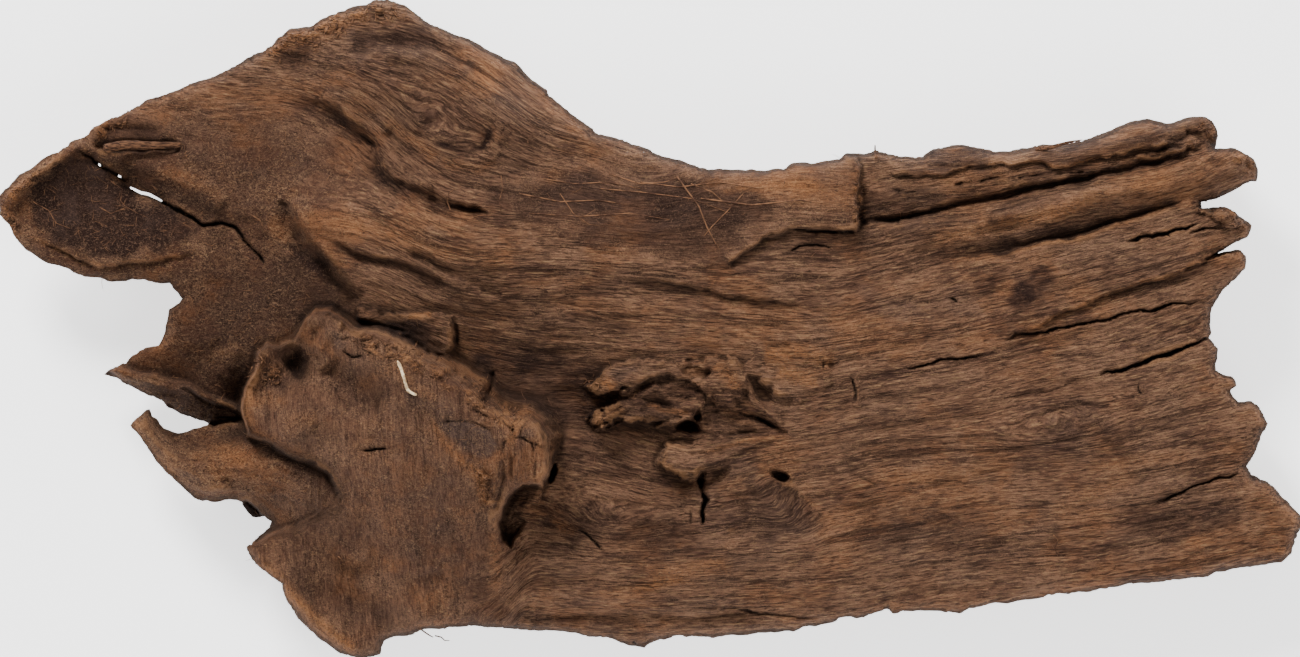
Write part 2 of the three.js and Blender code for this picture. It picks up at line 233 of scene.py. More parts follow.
def lattice_noise(u, v, seed):
    """Smooth random heights from -1 to 1: random values at whole u and v, eased between."""
    table = np.random.default_rng(seed).uniform(-1, 1, (256, 256))
    iu, iv = np.floor(u).astype(int), np.floor(v).astype(int)
    fu, fv = u - iu, v - iv
    fu, fv = fu * fu * (3 - 2 * fu), fv * fv * (3 - 2 * fv)
    iu, iv, ju, jv = iu % 256, iv % 256, (iu + 1) % 256, (iv + 1) % 256
    near = table[iu, iv] * (1 - fu) + table[ju, iv] * fu
    far = table[iu, jv] * (1 - fu) + table[ju, jv] * fu
    return near * (1 - fv) + far * fv


def rough(u, v, octaves, seed):
    """Sum of lattice noises, each half as high and twice as fine as the one before."""
    return sum(
        lattice_noise(u * 2**k + 31.7 * k, v * 2**k + 17.3 * k, seed + k) / 2**k
        for k in range(octaves)
    )


def ease(t):
    """0 below 0, 1 above 1, and an S curve between."""
    t = np.clip(t, 0, 1)
    return t * t * (3 - 2 * t)


# Nothing in wood is quite straight: every form below is drawn on a gently bent grid.
bend, bend_span = 1.1, 11  # millimetres aside, over so many millimetres
WX = X + bend * rough(X / bend_span, Y / bend_span, 4, 101)
WY = Y + bend * rough(X / bend_span, Y / bend_span, 4, 201)


def trace(path, reach, closed=False, bent=True):
    """For the grid near a path of straight runs: the window, the distance, the signed
    side (left of the path is positive) and the share of the path's length passed."""
    p = np.array(path, float)
    i0, i1 = np.searchsorted(x_line, (p[:, 0].min() - reach, p[:, 0].max() + reach))
    j0, j1 = np.searchsorted(y_line, (p[:, 1].min() - reach, p[:, 1].max() + reach))
    window = (slice(j0, j1), slice(i0, i1))
    x, y = (WX[window], WY[window]) if bent else (X[window], Y[window])
    best = np.full(x.shape, 1e9)
    side = np.zeros(x.shape)
    share = np.zeros(x.shape)
    inside = np.zeros(x.shape, bool)
    ends = np.roll(p, -1, axis=0) if closed else p[1:]
    lengths = np.hypot(*(ends - p[: len(ends)]).T)
    total, passed = lengths.sum(), 0.0
    for (ax, ay), (bx, by), run in zip(p, ends, lengths):
        dx, dy = bx - ax, by - ay
        t = np.clip(((x - ax) * dx + (y - ay) * dy) / run**2, 0, 1)
        ox, oy = x - ax - t * dx, y - ay - t * dy
        distance = np.hypot(ox, oy)
        nearer = distance < best
        best = np.where(nearer, distance, best)
        side = np.where(nearer, np.sign(dx * oy - dy * ox) * distance, side)
        share = np.where(nearer, (passed + t * run) / total, share)
        passed += run
        if closed and dy:
            inside ^= ((ay > y) != (by > y)) & (x < dx * (y - ay) / dy + ax)
    if closed:
        side = np.where(inside, best, -best)
    return window, best, side, share


def surface_through(spots, spread, slack=0.2):
    """A smooth surface through spot heights: a weighted sum of hypot(distance, spread). With
    more slack it passes by the spots instead of through them, and is smoother."""
    s = np.array(spots, float)
    gaps = np.hypot(s[:, None, 0] - s[:, 0], s[:, None, 1] - s[:, 1])
    level = s[:, 2].mean()
    weights = np.linalg.solve(np.hypot(gaps, spread) - slack * np.eye(len(s)), s[:, 2] - level)
    surface = np.full(X.shape, level)
    for (sx, sy, _), weight in zip(s, weights):
        surface += weight * np.hypot(np.hypot(X - sx, Y - sy), spread)
    return surface


def fade(share, ends):
    """1 along a path and 0 at its ends, easing over this share of its length."""
    return ease(share / ends) * ease((1 - share) / ends) if ends else 1.0


def ridge(field, path, width, rise, ends=0.1, power=1.0):
    """Adds a rounded ridge (or a gully, if rise is negative) along a path."""
    window, distance, _, share = trace(path, width)
    uneven = 1 + 0.3 * lattice_noise(X[window] / 7, Y[window] / 7, 6)
    field[window] += rise * uneven * ease(1 - distance / width) ** power * fade(share, ends)


def gully(field, path, left, right, depth, ends=0.1, power=1.0):
    """Cuts a gully with one width to the left of the path and another to the right, so
    that one bank can stand steep under its lip while the other slopes."""
    window, distance, side, share = trace(path, max(left, right))
    uneven = 1 + 0.35 * lattice_noise(X[window] / 6, Y[window] / 6, 7)
    reach = np.where(side > 0, left, right) * uneven
    lip = ease(0.5 + side / 0.8) * 0.12
    field[window] -= depth * (ease(1 - distance / reach) ** power) * fade(share, ends) * (1 - lip)


def turned(x, y, degrees):
    """The offsets x and y read along and across a line that lies at so many degrees."""
    c, s = np.cos(np.radians(degrees)), np.sin(np.radians(degrees))
    return x * c + y * s, y * c - x * s


def bowl(field, x, y, rx, ry, turn, rise, soft=1.0):
    """Adds a rounded dome or hollow with an oval plan, turned by so many degrees."""
    u, v = turned(WX - x, WY - y, turn)
    radius = np.hypot(u / rx, v / ry)
    field += rise * ease((1.25 - radius) / soft)


def flap(field, outline, level, tilt_x=0.0, tilt_y=0.0, wall=1.2, rag=0.8, lay=None, shred=0.0):
    """A ragged-edged plate at its own level, tilted about the middle of its outline. With a
    lay, in degrees, it is shredded into fibre ridges that run that way."""
    window, _, depth, _ = trace(outline, 6, closed=True)
    x, y = X[window], Y[window]
    middle = np.mean(outline, axis=0)
    torn = rag * rough(x / 2.0, y / 2.0, 3, 71)
    own = level + tilt_x * (x - middle[0]) + tilt_y * (y - middle[1])
    own = own + 0.6 * rough(x / 3.5, y / 2.5, 3, 81) - 0.9 * ease(1 - depth / 1.5)
    if lay is not None:
        u, v = turned(x, y, lay)
        shreds = shred * rough(u / 9, v / 1.3, 2, 91)
        own += shreds
        torn += 0.6 * shreds
    cover = ease((depth + torn) / wall + 0.5)
    field[window] = field[window] * (1 - cover) + own * cover


def layer(path, rise, reach, under=0.5, ends=0.12):
    """A layer of wood left of the path stands proud, dying out away from the edge, and
    the wood right of it is worn down close to the edge and marked there for painted shade."""
    window, distance, side, share = trace(path, 3 * reach)
    wobble = 0.5 * lattice_noise(X[window] / 2.5, Y[window] / 2.5, 5)
    left = ease((side + wobble) / 0.9 + 0.5)
    proud = rise * np.exp(-((distance / reach) ** 2)) * left
    worn = under * rise * np.exp(-distance / (0.3 * reach)) * (1 - left)
    height[window] += (proud - worn) * fade(share, ends)
    # Painted shade under the proud layer's lip, which the finish uses to darken the colour.
    shaded = 0.6 * np.exp(-distance / 0.9) * (1 - left) * fade(share, ends)
    painted_lip_shade[window] = np.maximum(painted_lip_shade[window], shaded)


def crack(path, width, depth, ends=0.25, wander=0.4):
    """A crack: a V cut that wanders a little and narrows to nothing at its ends. Where it is
    narrower than the grid it is cut wider, but less deep and with less painted shade."""
    window, distance, side, share = trace(path, 3 * width + 3)
    x, y = X[window], Y[window]
    wobble = wander * (lattice_noise(x / 4, y / 4, 8) + 0.4 * lattice_noise(x / 1.2, y / 1.2, 9))
    off = np.where(distance < np.abs(side) + 0.01, np.abs(side + wobble), distance)
    half = 0.4 * width * fade(share, ends) * (1 + 0.3 * lattice_noise(x / 5, y / 5, 10))
    cut_half = np.maximum(half, 0.75 * STEP)
    cut = np.clip(1.35 - off / cut_half, 0, 1) * np.clip(half / cut_half * 1.4, 0, 1)
    height[window] -= depth * cut
    # Marks the crack for painted shade, which the finish draws near black.
    split[window] = np.maximum(split[window], cut)


# Broad form: the trunk and root, the knob on them, and the felted plate that ends in a step.
height = surface_through(SPOTS, 7.0)
knob_height = surface_through(KNOB_SPOTS, 6.0)
painted_lip_shade = np.zeros(X.shape)
split = np.zeros(X.shape)
whole_wood = 500  # a reach that takes in the whole grid, in millimetres
_, _, knob_depth, _ = trace(KNOB_EDGE, whole_wood, closed=True)
_, _, plate_depth, _ = trace(PLATE_EDGE, whole_wood, closed=True)
edge_wobble = 0.7 * rough(X / 4, Y / 4, 3, 40)

# The grain's own coordinate across the fibres: one number along each of these grain lines.
GRAIN_LINES = {
    78: [(-107.5, 92), (-83, 93.5), (-64.5, 87), (-46, 78), (-27.5, 62.5), (-3, 52.5)],
    58: [
        (-107.5, 79.5), (-86, 75), (-67.5, 65.5), (-46, 55), (-15.5, 49), (15.5, 46.5), (64.5, 45),
        (95.5, 48), (126, 53.5), (151, 58.5), (171, 61.5),
    ],
    42: [
        (-111, 72), (-95.5, 64), (-83.5, 56), (-71, 42.5), (-49, 35), (-15.5, 32), (21.5, 33),
        (64.5, 36), (92.5, 39.5), (126, 45.5), (167.5, 55),
    ],
    30: [
        (-104.5, 35), (-77, 32), (-46, 25.5), (-15.5, 22.5), (23, 23.5), (46, 25.5), (86, 32),
        (126, 39.5), (183, 50.5),
    ],
    20: [
        (-99, 28), (-61.5, 13.5), (-17, 17), (2, 14.5), (24.5, 10.5), (55.5, 9), (86, 16.5),
        (126, 24), (167.5, 35),
    ],
    3: [
        (-95, 16), (-71, 5.5), (-40, -2), (-9, -5), (27.5, -5), (72.5, -0.5), (107.5, 5.5),
        (138.5, 12), (181.5, 24),
    ],
    -8: [
        (-64.5, -5), (-34, -13), (-9, -13), (27.5, -11), (64.5, -12), (103, -7), (138.5, 1),
        (172.5, 10.5),
    ],
    -20: [(-18.5, -22), (12.5, -28), (40.5, -32), (77, -23.5), (120, -15), (146, -12), (171, -4)],
    -30: [
        (-18.5, -34.5), (12.5, -43.5), (40.5, -36), (61.5, -34.5), (101.5, -29.5), (138.5, -23.5),
        (181.5, -14.5),
    ],
    -46: [
        (-34, -53), (-9, -59), (21.5, -59), (46, -49.5), (77, -43.5), (107.5, -41), (144.5, -39),
        (184.5, -31),
    ],
    -62: [
        (-43, -71), (-9, -71), (21.5, -70), (52.5, -68), (83, -62), (120, -57.5), (152.5, -53.5),
        (187.5, -48),
    ],
    -78: [
        (-47.5, -83.5), (-15.5, -85), (15.5, -83.5), (52.5, -83.5), (83, -79), (138.5, -73),
        (197, -63.5),
    ],
    -86: [
        (-49, -91), (-15.5, -96), (15.5, -94.5), (52.5, -91), (95.5, -86), (138.5, -80.5),
        (194, -71),
    ],
}
labelled = [(x, y, label) for label, line in GRAIN_LINES.items() for x, y in line]
across = surface_through(labelled, 14.0, 4.0)
along = X + 0.15 * Y

# Right of the trunk's felted plate the wood has split into long rails: a top plank with a
# crumbled lower edge, a sunk shelf, a round log, then planks one over another.
plate = ease((plate_depth + edge_wobble) / 1.4 + 0.5)
height += plate * (0.8 + 5.0 * ease((X - 15) / 45))
ridge(height, [
    (68.5, 28), (89, 31), (107.5, 34.5), (125, 37.5), (143, 42.5), (160.5, 46.5), (186, 50.5),
], 8.0, 7.0, ends=0.08, power=0.8)
layer([
    (67.5, 43), (72.5, 42), (82, 42.5), (89, 43), (98.5, 44), (104.5, 45), (111.5, 46), (120, 47),
    (131, 47.5), (140, 49), (151, 52), (158.5, 53.5), (169, 54.5),
], 2.0, 9.0, under=0.6, ends=0.1)
flap(height, [
    (65, 42.5), (77, 42.5), (89, 43), (98.5, 44), (104.5, 45), (111.5, 46), (120, 47), (131, 47.5),
    (140, 49), (151, 52), (158.5, 53.5), (164.5, 53.5), (163.5, 52.5), (155, 51), (143, 47.5),
    (131.5, 45.5), (122.5, 43.5), (113.5, 41.5), (107.5, 40), (95, 37.5), (85, 35), (76.5, 33),
    (65, 31.5),
], 48.0, 0.015, 0.2, wall=2.0, rag=0.5, lay=12, shred=0.5)
gully(height, [
    (64, 32), (76.5, 33.5), (85, 35), (95, 37.5), (107.5, 40), (113.5, 42), (122.5, 44),
    (131.5, 45.5), (137, 47), (143, 48), (149, 50), (155, 51), (163, 53),
], 1.5, 3.2, 4.6, ends=0.1, power=1.1)
layer([
    (71.5, 47.5), (79, 47), (90.5, 47), (98, 48.5), (105, 49.5), (111.5, 50), (120.5, 51),
    (124.5, 49), (127.5, 49), (132.5, 50), (137, 51.5), (143, 53), (149, 54), (155, 55),
    (159.5, 55), (162.5, 55.5),
], 2.2, 6.0, under=0.5, ends=0.05)
gully(height, [
    (84.5, 20), (96.5, 22.5), (104.5, 23.5), (115, 25.5), (123.5, 27), (131, 29), (137, 30.5),
    (143, 32), (149, 33.5), (155, 35.5), (160.5, 37.5), (169, 39),
], 4.0, 1.6, 4.2, ends=0.3, power=1.2)
gully(height, [
    (120, 26.5), (137, 30.5), (149, 33.5), (160.5, 37.5), (169, 39),
], 1.4, 1.0, 2.4, ends=0.3)
bowl(height, 166.5, 56, 2.8, 2.2, 30, 4.5)
bowl(height, 163.5, 55, 2.0, 1.2, -40, 2.0)
ridge(height, [(152.5, 55), (157, 56), (160.5, 53.5), (164.5, 52.5)], 1.8, 2.4)
ridge(height, [(164.5, 59), (171, 58), (173.5, 56)], 2.0, -2.0)
flap(height, [
    (169, 36), (176, 37), (179, 35.5), (181, 33), (177, 31.5), (172.5, 33),
], 50.5, 0.0, 0.1, rag=1.2, lay=10, shred=1.0)
ridge(height, [(178, 52), (183, 52.5), (186, 48)], 2.2, 2.0)

# The left end: the dished lobe, the groove under the shoulder, the prong and the horn.
ridge(height, [(-198, 36), (-195.5, 40), (-187.5, 47), (-178.5, 54), (-173, 57)], 4.0, 4.0)
ridge(height, [(-198, 36), (-197, 32), (-194, 28)], 3.0, 4.0, ends=0.3)
layer([
    (-191.5, 29.5), (-183, 25), (-174, 21.5), (-169, 19), (-155, 20), (-145.5, 22), (-137, 24),
], 1.6, 6.0, under=0.8, ends=0.3)
bowl(height, -174, 38, 22, 11, -8, -4.5)
layer([
    (-181.5, 55), (-171.5, 51), (-163.5, 47), (-158.5, 42.5), (-151.5, 40), (-144.5, 36),
    (-138, 32), (-128.5, 31),
], 1.6, 8.0, under=0.6, ends=0.2)
ridge(height, [(-167, 48), (-155.5, 42.5), (-144.5, 36.5), (-134, 31.5)], 5.5, -3.0)
ridge(height, [(-163.5, 52), (-154, 50), (-143, 45), (-135, 40), (-130.5, 36)], 4.5, 2.6)
gully(height, [(-173, 56), (-167, 55), (-154, 54), (-143.5, 55)], 4.5, 0.8, 6.0, ends=0.15)
ridge(height, [(-170.5, 59), (-163, 60.5), (-155, 61), (-149, 59)], 2.6, -2.0, ends=0.2)
gully(height, [
    (-112, 74), (-102, 69), (-95.5, 64), (-89, 58.5), (-83, 55.5),
], 3.0, 12.0, 4.6, ends=0.5, power=1.2)
gully(height, [(-90.5, 60), (-87.5, 57), (-83, 55)], 0.9, 2.0, 3.4, ends=0.4)
gully(height, [
    (-84.5, 55.5), (-85.5, 52.5), (-83, 48), (-78, 44.5), (-68, 41), (-61, 37.5), (-55, 35.5),
    (-48, 34.5),
], 2.2, 7.0, 4.6, ends=0.2, power=1.2)
gully(height, [(-63, 38.5), (-59, 37), (-53.5, 35), (-48, 34.5)], 1.0, 1.8, 4.5, ends=0.4)
ridge(height, [(-101, 71), (-93.5, 67), (-86, 61), (-80.5, 57.5)], 6.0, 2.4)
ridge(height, [(-79.5, 58), (-82, 53), (-79.5, 48.5), (-73, 45), (-65.5, 42.5)], 5.5, 3.0)
bowl(height, -52.5, 35.5, 3.0, 1.3, -14, -4.0)
ridge(height, [
    (-163.5, -13), (-153, -15), (-143.5, -18.5), (-135.5, -21), (-125, -25),
], 2.4, 7.0, ends=0.02)
flap(height, [
    (-165.5, -14.5), (-161.5, -13.5), (-153, -15.5), (-143.5, -19), (-135.5, -21.5), (-125, -25.5),
    (-124.5, -27), (-130, -28), (-135.5, -29.5), (-141.5, -27.5), (-149, -24.5), (-157, -20),
], 23.0, 0.03, 1.1, wall=1.4, rag=0.4, lay=-15, shred=0.5)
ridge(height, [(-136.5, -27), (-130.5, -26.5), (-125, -25.5)], 1.3, 1.6)
bowl(height, -131, -13.5, 14, 8, -30, -3.0)
bowl(height, -112, 37, 2.4, 1.2, -20, -2.0)
bowl(height, -127.5, 29.5, 10, 6, -40, -2.0)
bowl(height, -134, 9, 12, 7, -30, -1.5)
ridge(height, [
    (-156.5, -25.5), (-154, -32), (-147, -40), (-137, -48), (-127.5, -51),
], 4.0, 3.0, ends=0.1)
ridge(height, [(-151, -29.5), (-143, -34.5), (-131, -33), (-119.5, -27.5)], 6.0, -4.0, ends=0.2)
for offset in (0, 3.2, 6.4, 10.0):
    curl = np.array([
        (-154, -29.5), (-147, -36), (-137, -40), (-124.5, -39), (-112.5, -41), (-102, -46.5),
    ])
    ridge(height, curl - (0, offset), 1.4, 0.8, ends=0.2)
flap(height, [
    (-126, -52.5), (-122.5, -58), (-117.5, -58.5), (-119.5, -55), (-123.5, -52),
], 12.0, wall=1.0, rag=0.2)
gully(height, [
    (-124.5, -32), (-119.5, -34.5), (-113.5, -37.5), (-104.5, -41), (-98, -45), (-94, -52),
], 0.8, 6.0, 1.2, ends=0.2, power=1.3)

# The shoulder: a swirl of ridges round an old bud and a curved crease.
bowl(height, -78, 79.5, 11, 4.2, -22, -2.4)
ridge(height, [
    (-95.5, 71), (-85.5, 66.5), (-76.5, 61), (-67.5, 57.5), (-61, 54.5),
], 2.0, -1.2, ends=0.3)
ridge(height, [
    (-84.5, 75), (-74, 71), (-64.5, 66.5), (-61, 62.5), (-63.5, 58.5),
], 1.8, -0.9, ends=0.3)
ridge(height, [(-87, 76), (-87, 81), (-84.5, 83.5), (-78, 84), (-67.5, 82.5)], 3.2, 1.4)
bowl(height, -66.5, 62.5, 4.2, 2.8, 10, -1.4)
ridge(height, [
    (-49, 63.5), (-48.5, 58.5), (-50.5, 55), (-54.5, 53.5), (-59.5, 54), (-66, 56),
], 2.4, -1.1, ends=0.3)
ridge(height, [(-46, 65), (-45.5, 58), (-48.5, 52.5), (-54, 50.5), (-61.5, 51)], 3.6, 1.4)
ridge(height, [(-83, 74), (-71, 70.5), (-60, 65), (-55.5, 58)], 3.4, 1.2)
ridge(height, [(-84.5, 72), (-74, 65), (-69, 58)], 3.4, -1.2)
ridge(height, [(-91, 87.5), (-78.5, 86.5), (-67.5, 87.5), (-55.5, 82)], 5.0, -3.0)
ridge(height, [
    (-118, 81.5), (-114, 88), (-109.5, 90.5), (-102, 94), (-89, 98), (-84.5, 99.5), (-76.5, 98.5),
    (-68.5, 94),
], 5.0, 2.2)
ridge(height, [(-112, 81), (-107.5, 82.5), (-103, 84.5)], 3.0, -1.8, ends=0.4)

# The trunk: an overlapping layer, a sunk ledge on its left, and the hollow by the knob.
layer([
    (-17, 17.5), (-6.5, 15), (2, 14.5), (9, 12.5), (17.5, 11), (24.5, 9.5), (33, 9), (43, 8),
    (55.5, 7),
], 1.8, 7.0, under=0.7, ends=0.35)
gully(height, [
    (-100, 28), (-92.5, 24), (-84.5, 21.5), (-75, 18.5), (-68.5, 15.5), (-61.5, 12),
], 0.9, 4.6, 3.6, ends=0.25, power=1.3)
ridge(height, [(-92.5, 20.5), (-77, 15.5), (-64.5, 11)], 5.0, -1.4)
ridge(height, [(-74, 22.5), (-60, 16), (-44, 9.5)], 2.6, -2.4)
ridge(height, [(-67.5, 20.5), (-55.5, 14.5)], 2.0, 1.0)
bowl(height, -51, 14.5, 8, 4, -25, -1.5)
ridge(height, [
    (-109, 40), (-107, 33.5), (-103.5, 26), (-98, 21.5), (-94, 16.5), (-90, 12.5), (-87.5, 9),
], 4.0, 2.0)
ridge(height, [
    (-112, 38), (-110, 31.5), (-106, 24), (-101, 19), (-97, 13.5), (-93, 9), (-90.5, 4.5),
], 4.5, -4.2)
layer([
    (106, -7), (111, -2.5), (115, -1), (121.5, 2.5), (126.5, 5), (135.5, 8), (138.5, 10),
    (146, 12), (153, 13.5), (159, 16), (164, 18), (172.5, 21.5), (178, 23),
], 2.0, 7.0, under=0.5, ends=0.15)
layer([(23, 19), (28, 23), (34, 26.5), (42, 30.5)], 1.5, 4.0)

# The knot: frayed flaps over dark holes, with a fan of fibres drawn in from the right.
ridge(height, [(-18, -24.5), (-9, -22.5), (0, -21.5), (9, -22)], 5.0, -2.4, ends=0.15)
ridge(height, [(-18, -32.5), (-9, -31), (1.5, -30.5), (12.5, -32)], 3.0, -1.6, ends=0.3)
bowl(height, -24, -22.5, 9, 6, -10, -1.6)
flap(height, [
    (29, -13.5), (32, -6.5), (40, -5.5), (55, -6.5), (59, -10.5), (58, -16), (54.5, -20),
    (46, -23), (38.5, -22.5), (37, -17.5), (34, -14.5),
], 55.5, 0.02, 0.05, wall=3.0, rag=1.2, lay=8, shred=0.8)
flap(height, [
    (3, -11), (15.5, -9.5), (28, -9.5), (30, -13.5), (28.5, -17.5), (27, -22), (24, -25.5),
    (20.5, -24.5), (19, -21.5), (15.5, -19.5), (12.5, -17.5), (7.5, -16),
], 56.0, -0.05, 0.25, wall=2.0, lay=-55, shred=0.9)
flap(height, [
    (-11.5, -23), (-7, -19.5), (0, -16), (5.5, -13.5), (13.5, -17), (17, -21.5), (16.5, -24),
    (6, -23), (-3, -23),
], 50.0, 0.0, 0.1, wall=1.6, lay=28, shred=1.2)
flap(height, [
    (-19, -18.5), (-16.5, -16.5), (-14, -13.5), (-10, -11), (-3, -10), (3.5, -10.5), (12.5, -11),
    (19, -13.5), (15.5, -17), (9, -16), (3, -15), (-0.5, -16), (-3, -18), (-7.5, -19),
    (-11.5, -20), (-15.5, -21), (-18, -20.5),
], 54.5, -0.04, 0.25, wall=1.0, lay=16, shred=1.0)
flap(height, [
    (-19, -29), (-16.5, -26.5), (-12.5, -24.5), (-6.5, -21.5), (-2, -18.5), (3, -15.5), (7, -16.5),
    (12.5, -19), (16.5, -21.5), (16.5, -25), (15.5, -26.5), (13, -27.5), (11, -28), (7, -29),
    (1, -28), (-5, -28), (-11.5, -30), (-17, -31),
], 52.0, 0.03, -0.15, wall=1.0, lay=24, shred=1.0)
ridge(height, [(-15.5, -26.5), (-8.5, -23), (-3, -20.5), (2, -17)], 2.0, 2.6)
ridge(height, [(-11.5, -23), (-5, -21.5), (0.5, -22), (5.5, -25), (12.5, -25.5)], 1.6, -2.6)
ridge(height, [(-3, -25.5), (3.5, -26.5), (10.5, -24), (15.5, -23)], 2.0, 2.0)
bowl(height, 10, -21.5, 6, 4, 10, -2.0)
bowl(height, 12, -30.5, 4.0, 1.7, -8, -14.0, soft=0.7)
bowl(height, 14.5, -27, 1.2, 2.2, 10, -9.0, soft=0.8)
flap(height, [
    (16.5, -25.5), (20.5, -25.5), (25.5, -25.5), (32, -27.5), (41, -32), (34, -33.5),
    (24.5, -34.5), (18, -33.5), (15, -30.5),
], 47.0, 0.12, 0.1, wall=2.2, rag=0.9, lay=-14, shred=0.9)
ridge(height, [(26, -24.5), (32.5, -28), (40.5, -32)], 1.8, -3.0, ends=0.3)
ridge(height, [(17, -32), (27.5, -32.5), (39.5, -33.5)], 1.4, -1.6, ends=0.3)
ridge(height, [(28.5, -14), (31, -21.5), (36, -26.5), (41, -31)], 1.8, 2.6)
bowl(height, 34, -19, 5.6, 2.6, -52, -4.5)
ridge(height, [(1.5, -45), (7, -48), (15.5, -47), (26, -43)], 2.6, -2.4, ends=0.3)
flap(height, [
    (5, -34.5), (12.5, -36), (21.5, -34.5), (32.5, -33.5), (44.5, -33.5), (37, -36), (27.5, -39),
    (20.5, -42.5), (14, -45.5), (9, -46.5), (4.5, -45), (2, -43), (3, -40.5),
], 49.4, 0.04, -0.10, wall=2.2, rag=0.8, lay=20, shred=0.8)
ridge(height, [(6, -37), (12.5, -38.5), (20, -37.5)], 1.2, -0.8, ends=0.4)
ridge(height, [(5.5, -41), (11.5, -41.5), (19, -39)], 1.2, -0.7, ends=0.4)
bowl(height, 15.5, -47, 0.9, 2.4, -8, -7.0, soft=0.8)
bowl(height, 39, -45, 3.2, 1.5, -32, -8.0, soft=0.7)
drawn_fibres = [
    (30, -40.5), (35.5, -43), (43.5, -48.5), (51, -55), (55.5, -58.5), (55, -62), (50, -65),
]
ridge(height, drawn_fibres, 2.4, 1.0, ends=0.2)
bowl(height, 40, -56, 12, 7, -25, -2.2)
bowl(height, 26, -53, 8, 6, -20, -2.4)
ridge(height, [(22, -48.5), (27, -50.5), (31.5, -55), (29, -60), (23, -61.5)], 2.6, 1.4)
ridge(height, [
    (-3, -32), (-15.5, -33), (-27.5, -39), (-32.5, -53), (-27.5, -65), (-9, -71), (15.5, -71),
], 6.0, 2.0)
ridge(height, [(-27.5, -53), (-21.5, -45), (-9, -41), (1.5, -43.5)], 5.0, 1.4)
ridge(height, [(-27.5, -60), (-21.5, -56.5), (-12.5, -56.5), (-3, -59), (3.5, -61.5)], 3.0, 1.0)
ridge(height, [(-27.5, -49.5), (-18.5, -53), (-6, -55), (12.5, -56)], 3.0, -1.2)
bowl(height, -18, -57.5, 10, 5, -8, -2.0)
bowl(height, 1.5, -64.5, 12, 6, 8, -2.4)
bowl(height, 6, -49.5, 9, 6, 20, -1.8)
bowl(height, 67.5, -39.5, 2.0, 1.8, 0, -1.2)
ridge(height, [(-3, -75), (12.5, -72), (27.5, -71), (43, -69)], 7.0, 1.6)
ridge(height, [(63, -13.5), (64, -19.5), (63.5, -25)], 2.0, 1.4)
ridge(height, [(54, -8), (55.5, -14.5), (54, -22)], 2.0, 1.2)
for rx, ry, rise in ((24, 9.0, 0.8), (16, 5.6, -1.1), (9, 3.0, 0.9)):
    bowl(height, 127.5, -29.5, rx, ry, 5, rise, soft=0.5)
ridge(height, [(142, -21.5), (147.5, -22.5), (150, -25.5)], 2.0, 1.2)
bowl(height, 157, -60.5, 10, 4, 6, -1.6)
ridge(height, [
    (-47.5, -87), (-34, -82.5), (-9, -83), (15.5, -83.5), (46, -84),
], 5.0, 1.6, ends=0.2)
ridge(height, [
    (-47.5, -90.5), (-27.5, -88.5), (-3, -89), (21.5, -89), (46, -87),
], 3.0, -1.4, ends=0.2)
ridge(height, [(-40, -92), (-15.5, -94), (-3, -97)], 3.0, 1.4)

# The knob: its own surface, with a bowl, crumbled top and a cave under its right side.
bowl(knob_height, -108.5, -11, 6.2, 4.6, -45, -4.6)
gully(knob_height, [
    (-113.5, -7), (-112.5, -11), (-109.5, -14), (-104, -16),
], 5.0, 1.4, 2.6, ends=0.4)
bowl(knob_height, -54, -34.5, 8, 5, -30, -0.7)
foot_dip = [(-112, -72), (-107.5, -77), (-101.5, -81.5), (-92.5, -86), (-83, -88), (-78, -86.5)]
for path, width, rise, *ends in (
    ([(-119.5, -6.5), (-121, -13), (-121, -17.5)], 3.5, 3.0),
    ([(-104, 2), (-98.5, 3), (-92.5, 1)], 4.0, 2.6),
    ([(-102, -8.5), (-98.5, -3.5), (-95, -0.5)], 3.0, 2.0),
    ([(-99.5, -10.5), (-92.5, -19.5), (-80.5, -24.5)], 9.0, -3.6),
    ([(-112, -16.5), (-107.5, -22.5), (-103, -31)], 5.0, 1.5),
    ([(-95.5, -34.5), (-83, -29.5), (-71, -34.5)], 7.0, 1.6),
    ([(-77, -13), (-69, -20.5), (-61.5, -27.5)], 4.0, 1.5),
    ([(-46, -38), (-47, -46.5), (-48.5, -56), (-48, -66.5)], 2.2, 1.8),
    ([(-43.5, -36), (-43.5, -46), (-46, -54.5), (-46.5, -65)], 1.6, 1.4),
    ([(-44.5, -42.5), (-45, -49.5), (-47.5, -57.5)], 1.2, -0.7, 0.3),
    ([(-41, -36), (-39.5, -41), (-42, -48.5)], 2.0, 1.8),
    ([(-33, -35.5), (-32.5, -41), (-34, -46)], 2.0, 1.4),
    ([(-61, -38), (-57, -49.5), (-55.5, -65), (-54, -80.5)], 6.0, 1.2),
    ([(-66.5, -40.5), (-63, -53), (-61.5, -71)], 6.0, -1.2),
    (foot_dip, 7.0, -2.0, 0.4),
    ([
        (-121, -70), (-114, -76), (-109, -83), (-99.5, -92), (-89, -98.5),
    ], 4.5, 2.6, 0.05),
    ([(-73.5, -82.5), (-72.5, -76.5), (-68.5, -74), (-63.5, -75)], 1.6, 1.4),
    ([(-95.5, -67.5), (-91.5, -71), (-85.5, -70)], 4.0, 1.4),
):
    ridge(knob_height, path, width, rise, *ends)
knob_wall = 2.4 + 18 * ease((X + 72) / 22) * ease((-Y - 52) / 16)
knob_wall += (
    7 * ease((X + 92) / 12) * ease((Y + 36) / 10) + 3 * ease((X + 45) / 8) * ease((Y + 44) / 8)
)
knob = ease((knob_depth + 0.5 * edge_wobble) / knob_wall + 0.5)
height = height * (1 - knob) + knob_height * knob
flap(height, [
    (-44.5, -55), (-42.5, -52), (-40.5, -50), (-39, -48), (-36.5, -47), (-34, -47), (-32.5, -48),
    (-33, -52), (-35, -55), (-37, -59), (-39.5, -63), (-42, -66), (-44.5, -64.5), (-45.5, -60),
], 44.0, 0.7, 0.25, wall=1.6, rag=0.3)
bowl(height, -30, -44, 1.0, 2.7, -10, -13.0, soft=0.6)
